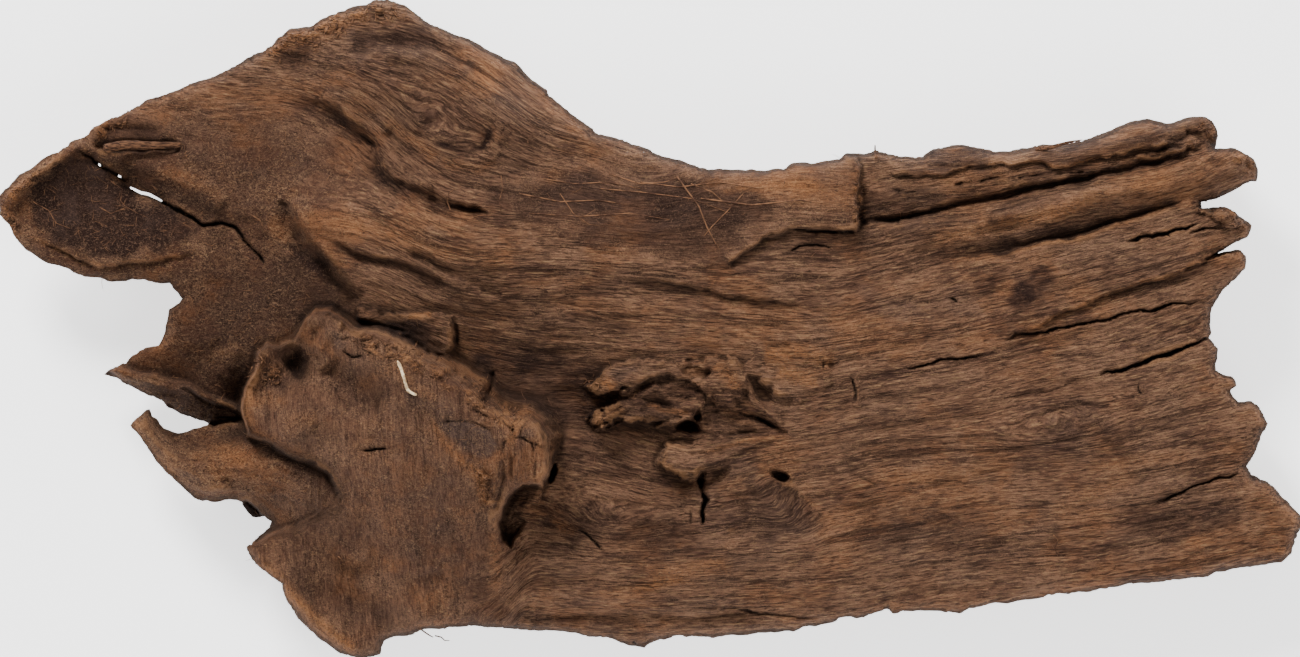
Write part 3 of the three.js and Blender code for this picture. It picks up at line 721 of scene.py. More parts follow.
flap(height, [
    (-89, 6), (-81.5, 4.5), (-67.5, 3.5), (-61, 4), (-59, -0.5), (-60.5, -7), (-64.5, -7.5),
    (-68.5, -6.5), (-71.5, -5), (-76.5, -1.5), (-83, 1), (-88.5, 3),
], 56.0, -0.03, 0.45, wall=1.4, rag=0.5, lay=-8, shred=0.4)
ridge(height, [(-89, 2.5), (-83, 0), (-77, -3), (-72.5, -5.5)], 2.6, -5.0, ends=0.2)
ridge(height, [(-77, -2.5), (-71.5, -5.5), (-68.5, -7)], 1.2, -4.0, ends=0.15)
ridge(height, [(-59.5, 3), (-59, -1), (-59.5, -6.5)], 1.1, -3.2, ends=0.35)
ridge(height, [
    (-68.5, -7), (-63, -8), (-58.5, -10.5), (-53, -13.5), (-49, -15), (-49, -17.5),
], 1.0, -3.0, ends=0.2)
ridge(height, [(-48.5, -13.5), (-48, -16.5), (-49, -19.5)], 1.2, -4.0, ends=0.1)

# Cracks: their paths, how wide and how deep, and the share of the length that tapers.
for path, width, depth, *ends in (
    ([(-178.5, 55), (-171.5, 51.5), (-167.5, 49), (-163.5, 47), (-158.5, 42.5)], 0.9, 4),
    ([(-151.5, 40), (-144.5, 36), (-138, 32), (-132, 32), (-127, 29.5)], 1.3, 5, 0.15),
    ([(-132, 32), (-127, 29.5), (-123, 25.5), (-119.5, 22.5), (-117, 19)], 0.8, 3, 0.2),
    ([(144, 25), (147.5, 25.5), (152.5, 27), (159, 29), (164.5, 31), (169.5, 33.5)], 1.0, 5, 0.3),
    ([(164.5, 28.5), (169, 30.5), (175.5, 32)], 0.6, 3),
    ([(75, -13), (83, -12), (92.5, -9.5), (104, -7)], 0.7, 3),
    ([
        (104, -7), (111, -2.5), (121.5, -0.5), (130, 1), (141, 3), (153, 5.5), (163.5, 8),
        (173, 10.5),
    ], 0.8, 4),
    ([
        (136.5, -15), (145.5, -13), (151, -11), (156.5, -8.5), (162.5, -6.5), (171, -4), (174, -3),
    ], 1.5, 7, 0.4),
    ([(107.5, -21), (123, -18.5), (136.5, -15)], 0.4, 1),
    ([(152.5, -53.5), (161.5, -51), (171, -48), (181.5, -44)], 0.7, 3),
    ([(15.5, -85.5), (32.5, -87.5), (43, -88.5), (56, -89.5)], 0.5, 1.5),
    ([(41, 23), (45, 24.5), (50, 25), (56, 23.5)], 0.9, 2),
    ([(-22.5, -61), (-19.5, -63), (-14, -67.5)], 0.7, 2.5),
    ([(15.5, -48.5), (16.5, -52), (15.5, -56), (16.5, -60)], 1.3, 5),
    ([(13, -54.5), (12.5, -60)], 0.4, 1.2),
    ([(-42.5, -33), (-40, -33), (-36.5, -36), (-35, -39)], 0.45, 1.8, 0.2),
    ([(-35, -39), (-35.5, -42.5), (-36.5, -46.5)], 0.4, 1.2, 0.4),
    ([(-40, -33), (-39, -30.5), (-37, -29.5)], 0.4, 1.4),
    ([(-36.5, -36), (-33.5, -36.5), (-31.5, -36)], 0.4, 1.2),
    ([(-47.5, -25), (-45, -27), (-42.5, -29.5), (-42, -31)], 0.4, 1.4),
    ([(-42.5, -33), (-44.5, -34.5), (-45, -38)], 0.45, 1.4),
    ([(-33.5, -32.5), (-31.5, -37)], 0.45, 1.4),
    ([(-42, -31), (-41, -28.5)], 0.5, 2),
    ([(-66, -27.5), (-59.5, -28), (-53, -28.5), (-48.5, -30.5), (-45, -33.5)], 0.5, 1.2),
    ([(-55.5, -23), (-51, -25.5), (-46, -27.5)], 0.5, 1.5),
    ([(-87.5, -36.5), (-83.5, -37), (-79.5, -37)], 0.7, 2.6),
    ([(-93.5, -6.5), (-90.5, -8.5), (-87, -8)], 0.6, 2),
    ([(-94, -3.5), (-90.5, -2.5)], 0.5, 1.5),
    ([(42, 30.5), (51, 29.5), (63.5, 30)], 1.0, 4, 0.1),
    ([(150, -17.5), (150.5, -21.5)], 0.5, 1.2),
    ([(54, -9), (54.5, -14)], 0.5, 1.2),
    ([(62, -14.5), (63.5, -19.5), (63.5, -24)], 0.6, 2),
    ([(63, -45.5), (70, -49)], 0.5, 1),
    ([(25, -25.5), (32, -28), (40.5, -32)], 0.7, 2.5, 0.4),
    ([(91.5, 9.5), (94, 8)], 0.9, 1.5),
    ([(-4.5, -96), (-3, -97.5)], 0.8, 2),
    ([(-136.5, -27), (-125, -26.5)], 0.6, 2),
):
    crack(path, width, depth, *ends)

# Small relief: fibre ridges along the grain, felt on the left end, crumbs on worn edges.
foot = ease(knob_depth / (knob_wall + 2) + 0.5)
felt = np.clip(ease((-X - 78) / 40) * (1 - foot) * ease((60 - Y) / 30 + 0.6), 0, 1)
felt = np.maximum(felt, 0.35 * plate)
felt = np.maximum(felt, 0.5 * foot)
horn_x, horn_y = -131.5, -19.5
horn = ease((-Y - 24) / 4) * ease((-X - 98) / 8) * (1 - foot)
across = across * (1 - horn) + horn * np.hypot(X - horn_x, Y - horn_y)
along = along * (1 - horn) + horn * 26 * np.arctan2(Y - horn_y, X - horn_x)
across = across * (1 - foot) + foot * (X + 0.06 * Y)
along = along * (1 - foot) + foot * Y
# Where a branch once grew, the grain parts and runs round the place.
for x, y, rx, ry, turn in (
    (122.5, -29, 20, 6.5, 6),
    (-11.5, -57.5, 14, 7, -8),
    (42, -55, 11, 7, -35),
    (-68.5, 65.5, 17, 9, -38),
):
    u, v = turned(WX - x, WY - y, turn)
    u, v = u / rx, v / ry
    across += np.exp(-(u**2) - v**2) * (2.5 - 0.8 * ry * v)
fibre = rough(along / 14, across / 1.4, 3, 11)
coarse = rough(along / 36, across / 5.0, 3, 21)
lumps = rough(X / 9, Y / 9, 4, 31)
height += (1 - 0.7 * felt) * (0.34 * fibre + 0.75 * coarse) + 0.4 * lumps
height += felt * 0.3 * rough(X / 2.0, Y / 2.0, 3, 35)

# Crumbled edges, each with the width that has crumbled.
crumbs = ease(0.1 + rough(X / 1.9, Y / 1.3, 2, 301) + 0.4 * lattice_noise(X / 6, Y / 6, 303))
crumbly = np.zeros(X.shape)
for path, wide in (
    ([
        (-118, 81.5), (-113.5, 86.5), (-109, 89.5), (-102, 92), (-89.5, 96), (-84.5, 97.5),
        (-76.5, 97), (-71, 93),
    ], 6.5),
    ([(-119.5, -6.5), (-120, -12), (-117, -13.5), (-112.5, -16.5)], 5.0),
    ([
        (-93.5, -5), (-88.5, -3.5), (-83.5, -6.5), (-74, -9), (-66, -11.5), (-55.5, -17.5),
        (-50.5, -22.5), (-40, -26.5), (-32.5, -30.5),
    ], 5.5),
    ([(-19, -18.5), (-15.5, -16.5)], 3.5),
    ([(-18, -29.5), (-13.5, -27.5)], 3.0),
    ([(168, 63), (173, 61), (173, 56)], 3.0),
    ([(178, 53.5), (184, 50), (185, 46.5)], 3.5),
    ([(171, 36), (178, 36), (182.5, 30.5)], 3.5),
    ([(63.5, 45.5), (64.5, 38), (63.5, 31)], 2.5),
    ([(-186, 48), (-191.5, 44), (-196.5, 39), (-197, 34), (-193, 28)], 3.6),
    ([(-171, 59), (-164.5, 61.5), (-157, 62)], 3.0),
    ([(-52.5, -43.5), (-50, -49), (-47.5, -56)], 3.0),
):
    ridge(crumbly, path, wide, 1.4, ends=0.15)
crumbly = np.clip(crumbly, 0, 1)
height += 1.7 * crumbly * (crumbs - 0.4)

# The edge: the outline with a little natural raggedness, the slit cut through it, and both
# faces rounded towards it.
_, _, depth_in, _ = trace(OUTLINE, whole_wood, closed=True, bent=False)
depth_in += 0.45 * rough(X / 5, Y / 5, 3, 51) * ease((6 - np.abs(depth_in)) / 5)
tight = np.ones(X.shape)
for slit, wide in (
    ([(-171.5, 52), (-169, 50), (-167, 48.5)], 0.6),
    ([(-165, 48), (-163, 46.5), (-160.5, 45.5)], 0.55),
    ([(-159.5, 43), (-156.5, 41.5), (-154, 41), (-150, 39)], 0.9),
):
    window, distance, _, share = trace(slit, 8, bent=False)
    tight[window] = np.minimum(tight[window], ease(distance / 8))
    half_slit = wide / 2 * (0.7 + 0.3 * fade(share, 0.4))
    depth_in[window] = np.minimum(depth_in[window], distance - half_slit)

# The back: a hollowed underside that stands on a few worn flats.
BACK_SPOTS = [
    (-68, 67, -6), (-83, 86, 2), (-138, 61, 13), (-108, 40, 10), (-169, 33, 20), (-194, 40, 30),
    (-129, -4, 12), (-163, -13, 12), (-155, -28, 18), (-132, -42, 12), (-92, -28, 5),
    (-92, -80, -8), (-114, -74, 4), (-62, -59, 8), (-15, 24, 12), (-62, 15, 12), (-15, -37, 15),
    (15, -71, 6), (-3, -88, -2), (34, 40, 12), (108, 9, 12), (182, 49, 18), (163, 30, 10),
    (145, 54, -3), (92, 49, 4), (169, -22, 8), (180, -60, -7), (145, -68, 0), (108, -78, 5),
    (62, -82, 4), (77, -37, 14),
]
back = surface_through(BACK_SPOTS, 8.0)
back += 0.8 * rough(along / 36, across / 9, 1, 21) + 0.8 * rough(X / 9, Y / 9, 1, 31)
thinnest, edge_thickness = 5.0, 1.0  # of the open wood and of its edge, in millimetres
thickness = np.maximum(height - back, thinnest)
back = height - thickness
# The upper face turns down over a few millimetres at the edge, and the back turns up over
# more; both turn over less where the wood is thin.
upper_radius = np.minimum(4.0, 0.3 * thickness)
lower_radius = np.minimum(16.0, 0.8 * thickness)
upper_in = np.clip(1 - depth_in / upper_radius, 0, 1)
lower_in = np.clip(1 - depth_in / lower_radius, 0, 1)
top = height - 0.2 * thickness * (1 - np.sqrt(1 - upper_in**2))
bottom = np.maximum(back + 0.5 * thickness * (1 - np.sqrt(1 - lower_in**2)), 0)
top = np.maximum(top, bottom + edge_thickness)

# One closed sheet: both faces on the grid cells inside the outline, and a wall round them.
# Where two cells would touch at one corner only, both are left out.
kept = depth_in > -0.45 * STEP
cells = kept[:-1, :-1] & kept[1:, :-1] & kept[:-1, 1:] & kept[1:, 1:]
for _ in range(3):
    padded = np.pad(cells, 1)
    a, b, c, d = padded[:-1, :-1], padded[:-1, 1:], padded[1:, :-1], padded[1:, 1:]
    pinched = (a & d & ~b & ~c) | (b & c & ~a & ~d)
    cells &= ~(pinched[:-1, :-1] | pinched[1:, 1:] | pinched[:-1, 1:] | pinched[1:, :-1])
rows, columns = X.shape
number = np.arange(rows * columns).reshape(rows, columns)
corner = np.stack([number[:-1, :-1], number[:-1, 1:], number[1:, 1:], number[1:, :-1]], -1)
quads = corner[cells]
used = np.zeros(rows * columns, bool)
used[quads] = True
edges = np.concatenate([quads[:, [k, (k + 1) % 4]] for k in range(4)])
codes = edges[:, 0].astype(np.int64) * rows * columns + edges[:, 1]
back_codes = edges[:, 1].astype(np.int64) * rows * columns + edges[:, 0]
rim = edges[~np.isin(codes, back_codes)]
# The rim's points are pulled from the grid's stair steps onto the outline itself.
slope_y, slope_x = np.gradient(depth_in, STEP)
steep = np.maximum(np.hypot(slope_x, slope_y), 0.3)
on_rim = np.zeros(rows * columns, bool)
on_rim[rim.ravel()] = True
on_rim = on_rim.reshape(rows, columns)
pull = np.where(on_rim, np.clip(depth_in, -0.7 * STEP, 0.7 * STEP), 0)
flat_x = X - pull * slope_x / steep**2
flat_y = Y - pull * slope_y / steep**2

packed = np.cumsum(used) - 1
count = int(used.sum())
front = np.stack([flat_x, flat_y, top], -1).reshape(-1, 3)[used]
rear = np.stack([flat_x, flat_y, bottom], -1).reshape(-1, 3)[used]
front_quads = packed[quads]
# The wall: rows of points from the upper rim down to the lower one, a little uneven.
WALL_ROWS = 8
rim_ids, rim_at = np.unique(rim, return_inverse=True)
rim_at = rim_at.reshape(-1, 2)
down = (np.arange(1, WALL_ROWS) / WALL_ROWS)[:, None, None]
rim_top, rim_low = front[packed[rim_ids]], rear[packed[rim_ids]]
wall = rim_top + (rim_low - rim_top) * down
out_x = -(slope_x / steep).reshape(-1)[rim_ids]
out_y = -(slope_y / steep).reshape(-1)[rim_ids]
bulge = 0.5 * rough(wall[..., 2] / 2.5, (rim_top[:, 0] + rim_top[:, 1])[None] / 6, 3, 61)
bulge = (bulge + 0.3 * np.sin(np.pi * down[..., 0])) * tight.reshape(-1)[rim_ids]
wall[..., 0] += bulge * out_x
wall[..., 1] += bulge * out_y
ladder = [packed[rim_ids]]
for r in range(WALL_ROWS - 1):
    ladder.append(2 * count + r * len(rim_ids) + np.arange(len(rim_ids)))
ladder.append(packed[rim_ids] + count)
walls = [
    np.stack([up[rim_at[:, 1]], up[rim_at[:, 0]], low[rim_at[:, 0]], low[rim_at[:, 1]]], -1)
    for up, low in zip(ladder, ladder[1:])
]
points = np.concatenate([front, rear, wall.reshape(-1, 3)])
faces = np.concatenate([front_quads, front_quads[:, ::-1] + count, *walls])

drawn_length, drawn_middle_y = 399.0, -0.25  # of the outline above, in millimetres
scale = length / drawn_length  # metres to a drawn millimetre


def placed(millimetres):
    """Drawn millimetres to the frame's metres."""
    return (np.asarray(millimetres, float) - (0, drawn_middle_y, 0)) * scale


wood = quad_mesh("driftwood_body", placed(points), faces)


def blurred(field, radius):
    """The field averaged with a bell of this radius in millimetres, by Fourier transform."""
    fy = np.fft.fftfreq(field.shape[0], STEP)[:, None]
    fx = np.fft.rfftfreq(field.shape[1], STEP)[None]
    bell = np.exp(-2 * (np.pi * radius) ** 2 * (fx**2 + fy**2))
    return np.fft.irfft2(np.fft.rfft2(field) * bell, field.shape)


# What the finish reads: how proud or sunk each place is, for rubbed wear on crests and
# painted shade in creases and hollows, and where the wood is golden, dark (its own dark
# places and painted shade), grey or felted.
wooden = (depth_in > -0.3) * 1.0  # 1 on the wood and 0 off it


def proudness(radius):
    """Height above the mean height of the wood within this radius."""
    return top - blurred(top * wooden, radius) / np.maximum(blurred(wooden, radius), 0.05)


# Crest gives rubbed wear where proud and painted shade where sunk; broad gives painted shade in
# wide hollows.
crest = np.clip(proudness(1.2) / 1.4, -1, 1)
broad = np.clip(proudness(6.0) / 9.0, -1, 1)
golden = 0.75 * crumbly * crumbs
dark = np.zeros(X.shape)
grey = np.zeros(X.shape)


def patch(field, outline, amount, soft=3.0):
    """Raises a tone to this amount inside a ragged outline, easing over a soft edge."""
    window, _, depth, _ = trace(outline, 2 * soft + 2, closed=True)
    torn = depth + 0.8 * soft * rough(X[window] / 6, Y[window] / 6, 3, 131)
    field[window] = np.maximum(field[window], amount * ease(torn / soft + 0.5))


# Dark places: the felted root end and real stains, and painted shade on gully floors,
# in holes, between and under flaps, under lips and in the knob's shadow beside it.
for outline, amount, soft in (
    ([
        (-149, 9), (-144, 9), (-144, 14), (-123, 20.5), (-107.5, 24), (-98.5, 12), (-94, 5),
        (-107.5, 3), (-119.5, -3.5), (-124.5, -13.5), (-125, -23.5), (-154, -16), (-163, -13),
        (-154, -5.5), (-147.5, -2),
    ], 0.62, 5.0),
    ([
        (-147.5, 13.5), (-141.5, 22.5), (-132.5, 32), (-123, 29), (-111, 24), (-101.5, 13.5),
        (-120, 12), (-141.5, 9),
    ], 0.4, 6.0),
    ([
        (-189, 45), (-178.5, 52.5), (-166, 47), (-158.5, 42), (-144.5, 36), (-138.5, 29),
        (-154, 22.5), (-169, 22.5), (-181.5, 26.5), (-189.5, 33),
    ], 1.0, 4.0),
    ([(-171, 57.5), (-167, 60.5), (-154, 61.5), (-143, 56), (-154, 54.5), (-167, 54.5)], 0.9, 2.0),
    ([
        (-178.5, 55), (-167.5, 52), (-155.5, 50), (-134, 38.5), (-127.5, 31.5), (-123, 25.5),
        (-134, 31), (-151, 40), (-163.5, 46.5),
    ], 0.7, 3.0),
    ([
        (-47.5, 42.5), (-27.5, 45.5), (3, 44), (20, 41), (34, 32), (23, 20.5), (3, 21.5),
        (-18.5, 25.5), (-37, 32), (-47.5, 38),
    ], 0.62, 5.0),
    ([
        (-59, -7), (-52.5, -5), (-27.5, -9.5), (-15.5, -13.5), (-18, -20.5), (-15.5, -28),
        (-18.5, -33.5), (-26, -33), (-32.5, -28), (-41.5, -22.5), (-49, -17.5), (-56.5, -13),
    ], 0.85, 4.0),
    ([
        (-89, 4), (-77, 2), (-67.5, -0.5), (-67.5, -6), (-72.5, -6.5), (-78.5, -3), (-87, 0),
    ], 0.95, 2.0),
    ([
        (-60, 5), (-46, -0.5), (-27.5, -6.5), (-15.5, -10.5), (-27.5, -11), (-46, -6.5), (-58, -5),
    ], 0.25, 5.0),
    ([
        (-98, -12), (-92.5, -9.5), (-81.5, -13), (-78.5, -19), (-83, -25.5), (-92.5, -25.5),
        (-98, -20.5),
    ], 0.6, 5.0),
    ([
        (-111, -9.5), (-107.5, -7), (-104, -9), (-104.5, -14), (-109, -14.5), (-112.5, -11),
    ], 0.8, 2.0),
    ([
        (29, -45), (43, -49.5), (53, -58.5), (49, -62), (34, -64.5), (24, -62.5), (26, -53),
    ], 0.45, 4.0),
    ([(-32.5, -59), (-15.5, -53), (3, -55), (12.5, -62), (-3, -68), (-21.5, -66.5)], 0.6, 5.0),
    ([(0, -43.5), (13.5, -48.5), (12.5, -55), (-0.5, -55)], 0.4, 4.0),
    ([(-1.5, -60.5), (15.5, -61.5), (13, -67.5), (-0.5, -70)], 0.55, 4.0),
    ([
        (-27.5, -34.5), (-15.5, -34.5), (0, -37.5), (3, -46.5), (-15.5, -46.5), (-27.5, -43.5),
    ], 0.35, 5.0),
    ([(-112, 84), (-107.5, 85), (-103, 85), (-104, 81), (-111, 80), (-117, 79)], 0.7, 2.5),
    ([
        (-91, 89.5), (-78.5, 90.5), (-66.5, 90), (-64.5, 85.5), (-78.5, 85), (-90.5, 86),
    ], 0.85, 3.0),
    ([(-85.5, 82.5), (-78.5, 83.5), (-73, 79.5), (-77, 76), (-83, 77.5)], 0.5, 3.0),
    ([(-68.5, 65), (-64.5, 65), (-63.5, 61), (-66.5, 60), (-69, 61.5)], 0.7, 2.0),
    ([
        (-98.5, 82.5), (-85.5, 82.5), (-83, 76.5), (-71, 67), (-67.5, 58), (-77, 55), (-86, 64),
        (-98.5, 72),
    ], 0.25, 5.0),
    ([(146, -56.5), (160, -54), (179, -55), (178, -61.5), (163, -64.5), (147.5, -64)], 0.55, 4.0),
    ([(63.5, -53), (77, -51), (100.5, -56), (103, -63), (77, -67), (63.5, -64)], 0.4, 5.0),
    ([(122.5, -59.5), (125, -60), (126, -67.5), (123, -69)], 0.6, 1.5),
    ([(99, 15.5), (105, 18), (109, 12.5), (103, 10.5)], 0.9, 3.5),
    ([(109.5, 13), (117, 18.5), (122, 16), (119.5, 9), (111.5, 7)], 1.0, 3.5),
    ([(105, -0.5), (111.5, 3), (117, -0.5), (110, -3.5)], 0.5, 3.0),
    ([(101.5, 33.5), (106.5, 34.5), (107.5, 32), (103, 31)], 0.75, 1.5),
    ([(140, 38.5), (143, 38.5), (143, 37), (140.5, 36.5)], 0.8, 0.8),
    ([
        (65, 42), (95.5, 42.5), (132.5, 47), (163, 53), (163, 52), (132.5, 44.5), (107.5, 39.5),
        (77, 33), (65, 31.5),
    ], 0.5, 2.5),
    ([
        (67.5, 31), (89, 33.5), (107.5, 37), (126, 41), (126, 38.5), (107.5, 34.5), (86, 29.5),
        (67.5, 27),
    ], 0.45, 3.0),
    ([
        (-15.5, 21), (15.5, 15), (46, 12), (77, 15), (77, 9), (34, 5.5), (-3, 10.5), (-27.5, 16.5),
    ], 0.2, 6.0),
    ([
        (86, 21.5), (107.5, 26.5), (125, 29.5), (143, 34.5), (160.5, 40), (160.5, 37.5), (143, 32),
        (125, 27), (107.5, 23.5), (89, 20.5),
    ], 0.75, 3.0),
    ([(84.5, 55), (95.5, 55.5), (104.5, 54.5), (104.5, 48), (84.5, 47.5)], 0.5, 2.0),
    ([
        (120, 52.5), (138.5, 58), (157, 61.5), (166, 61), (166, 56.5), (154, 55), (138.5, 52.5),
        (126, 50),
    ], 0.55, 3.0),
    ([(-18, 16.5), (9, 12), (34, 8), (34, 6.5), (9, 9.5), (-15.5, 13.5)], 0.55, 2.0),
    ([(37, 26.5), (64.5, 28.5), (77, 26), (64.5, 20.5), (43, 20.5)], 0.4, 4.0),
    ([(-126, -52), (-122.5, -58.5), (-117, -59), (-119, -54.5)], 0.9, 1.5),
    ([(-3, -18.5), (5.5, -14.5), (15.5, -19.5), (16, -22.5), (6, -21.5), (0, -21)], 0.6, 2.0),
    ([(-16.5, -23), (-3, -19.5), (3, -21), (12.5, -28), (-15.5, -34.5)], 0.6, 2.0),
    ([(16, -25.5), (27.5, -25.5), (41, -32), (27.5, -34.5), (17, -33)], 0.5, 2.0),
    ([(120, -26.5), (135.5, -26.5), (138.5, -31), (126, -34.5), (117, -32)], 0.35, 4.0),
    ([
        (-169, 61), (-138.5, 75), (-111, 79.5), (-83, 52), (-67.5, 39.5), (-98.5, 39.5),
        (-123, 30.5), (-144.5, 42.5),
    ], 0.3, 6.0),
    ([
        (-144.5, 62.5), (-126, 67), (-112.5, 64), (-107.5, 52), (-120, 42.5), (-138.5, 47),
    ], 0.45, 6.0),
    ([
        (-123, -6.5), (-95.5, 2.5), (-64.5, -16), (-46, -31), (-46, -71), (-64.5, -83.5),
        (-98.5, -71), (-120, -34.5),
    ], 0.22, 8.0),
    ([
        (-104, -53), (-95.5, -55), (-85.5, -59), (-82, -74.5), (-89, -85), (-100, -82.5),
        (-106, -71), (-107.5, -59),
    ], 0.3, 6.0),
    ([(-58, -56.5), (-47.5, -54.5), (-46, -71), (-49, -85.5), (-56.5, -83.5)], 0.3, 5.0),
    ([(-112.5, -29.5), (-107.5, -26.5), (-98.5, -31), (-98.5, -39), (-107.5, -37.5)], 0.3, 4.0),
    ([
        (-111, 82.5), (-89, 93), (-64.5, 89), (-40, 71.5), (-27.5, 55), (-46, 49), (-71, 42.5),
        (-95.5, 64), (-111, 73.5),
    ], 0.3, 8.0),
    ([
        (-34, 42.5), (-15.5, 45.5), (15.5, 45), (37, 42.5), (40, 37.5), (34, 32), (27.5, 27),
        (3, 27), (-27.5, 33.5),
    ], 0.78, 6.0),
    ([(-52.5, -82.5), (-46, -82.5), (-47, -99), (-55.5, -99.5), (-64.5, -83.5)], 0.2, 5.0),
    ([(-47.5, -87), (-15.5, -88.5), (0, -93.5), (-15.5, -93.5), (-46, -90.5)], 0.45, 3.0),
):
    patch(dark, outline, amount, soft)
# Dark lines of painted shade along grooves and gullies and at the foot of steps, and one
# line that is paler than the felt round it.
for path, width, amount in (
    (foot_dip, 7.0, 0.5),
    ([(-49, 63), (-49, 58.5), (-50.5, 55), (-54.5, 53.5), (-59.5, 54.5), (-66, 56)], 1.6, 0.7),
    ([
        (-110, 73), (-102, 68), (-94, 62.5), (-87.5, 57), (-85, 52), (-80, 44.5), (-67.5, 39.5),
        (-55.5, 34.5),
    ], 5.0, 0.6),
    ([(-149, -29.5), (-140, -35), (-127.5, -33.5), (-119.5, -29.5)], 4.0, 0.5),
    ([(-124.5, -33), (-119.5, -35.5), (-111, -40), (-100, -45.5), (-95, -53)], 7.0, 0.5),
    ([(-119.5, -12), (-115, -16.5), (-111, -16)], 3.0, 0.5),
    ([(-100, 27), (-89, 22.5), (-77, 18), (-61.5, 12)], 2.4, 0.5),
    ([(-112, 38), (-110, 31.5), (-106, 24), (-101, 19), (-97, 13.5), (-93, 9)], 5.0, 0.5),
    ([(-62, -54.5), (-60, -71), (-58, -86.5)], 4.0, 0.35),
    ([(-73, -43.5), (-71.5, -59), (-69.5, -74.5)], 4.0, 0.25),
    ([(-46, -39), (-45.5, -49.5), (-48.5, -59)], 2.4, 0.4),
    ([(-64.5, 9), (-46, 4), (-27.5, -0.5)], 3.0, 0.25),
    ([(107.5, 9), (126, 12.5), (144.5, 18)], 4.0, 0.25),
    ([(60, -31), (77, -27.5), (101.5, -23.5)], 3.0, 0.3),
    ([(-130, -5), (-127.5, -13.5), (-127, -22.5)], 9.0, -0.45),
):
    ridge(dark, path, width, amount)
# Grey places, where the weather has bleached the surface.
for outline, amount, soft in (
    ([
        (-66, -27), (-59.5, -28), (-53, -28.5), (-48.5, -30.5), (-46.5, -34.5), (-48.5, -40),
        (-51.5, -40), (-56, -38), (-61, -33),
    ], 1.0, 0.9),
    ([(-56.5, -40), (-53.5, -40.5), (-51, -42.5), (-52.5, -46), (-55, -44.5)], 0.9, 0.9),
    ([
        (-75.5, -17.5), (-67.5, -20.5), (-58.5, -25.5), (-61, -29.5), (-67.5, -25.5), (-73, -22),
    ], 0.6, 2.5),
    ([
        (-165.5, -14.5), (-153, -15.5), (-143.5, -19), (-135.5, -21.5), (-125, -25.5),
        (-124.5, -27), (-135.5, -29.5), (-149, -24.5), (-157, -20),
    ], 0.85, 2.0),
    ([
        (-77, -24.5), (-64.5, -37.5), (-61.5, -59), (-67.5, -80.5), (-77, -71), (-83, -46.5),
    ], 0.35, 6.0),
    ([
        (-189, 45), (-178.5, 52.5), (-166, 47), (-158.5, 42), (-144.5, 36), (-154, 24), (-169, 24),
        (-181.5, 28),
    ], 0.95, 4.0),
    ([(-27.5, 45.5), (0, 47), (15.5, 39.5), (12.5, 32), (-15.5, 32), (-34, 38)], 0.5, 5.0),
    ([(-97, -2), (-93.5, -1.5), (-92.5, -6), (-95.5, -7)], 0.7, 1.0),
    ([(-12.5, -13), (-7.5, -11.5), (-3, -13.5), (-7.5, -17), (-11.5, -16)], 0.6, 1.5),
    ([(84.5, 55), (104.5, 54.5), (104.5, 47.5), (84.5, 47.5)], 0.6, 2.0),
    ([(117, -25), (138.5, -23), (141.5, -34.5), (120, -36)], 0.3, 5.0),
    ([(27.5, -39), (46, -53), (49, -65), (15.5, -65), (12.5, -43.5)], 0.35, 5.0),
    ([(64.5, 9), (95.5, 13.5), (107.5, 9), (77, -0.5)], 0.35, 5.0),
    ([(-92.5, 90.5), (-64.5, 91), (-61.5, 82.5), (-89, 82.5)], 0.4, 4.0),
    ([(-41.5, -29.5), (-37, -29.5), (-35.5, -34.5), (-40.5, -34.5)], 0.6, 1.0),
):
    patch(grey, outline, amount, soft)
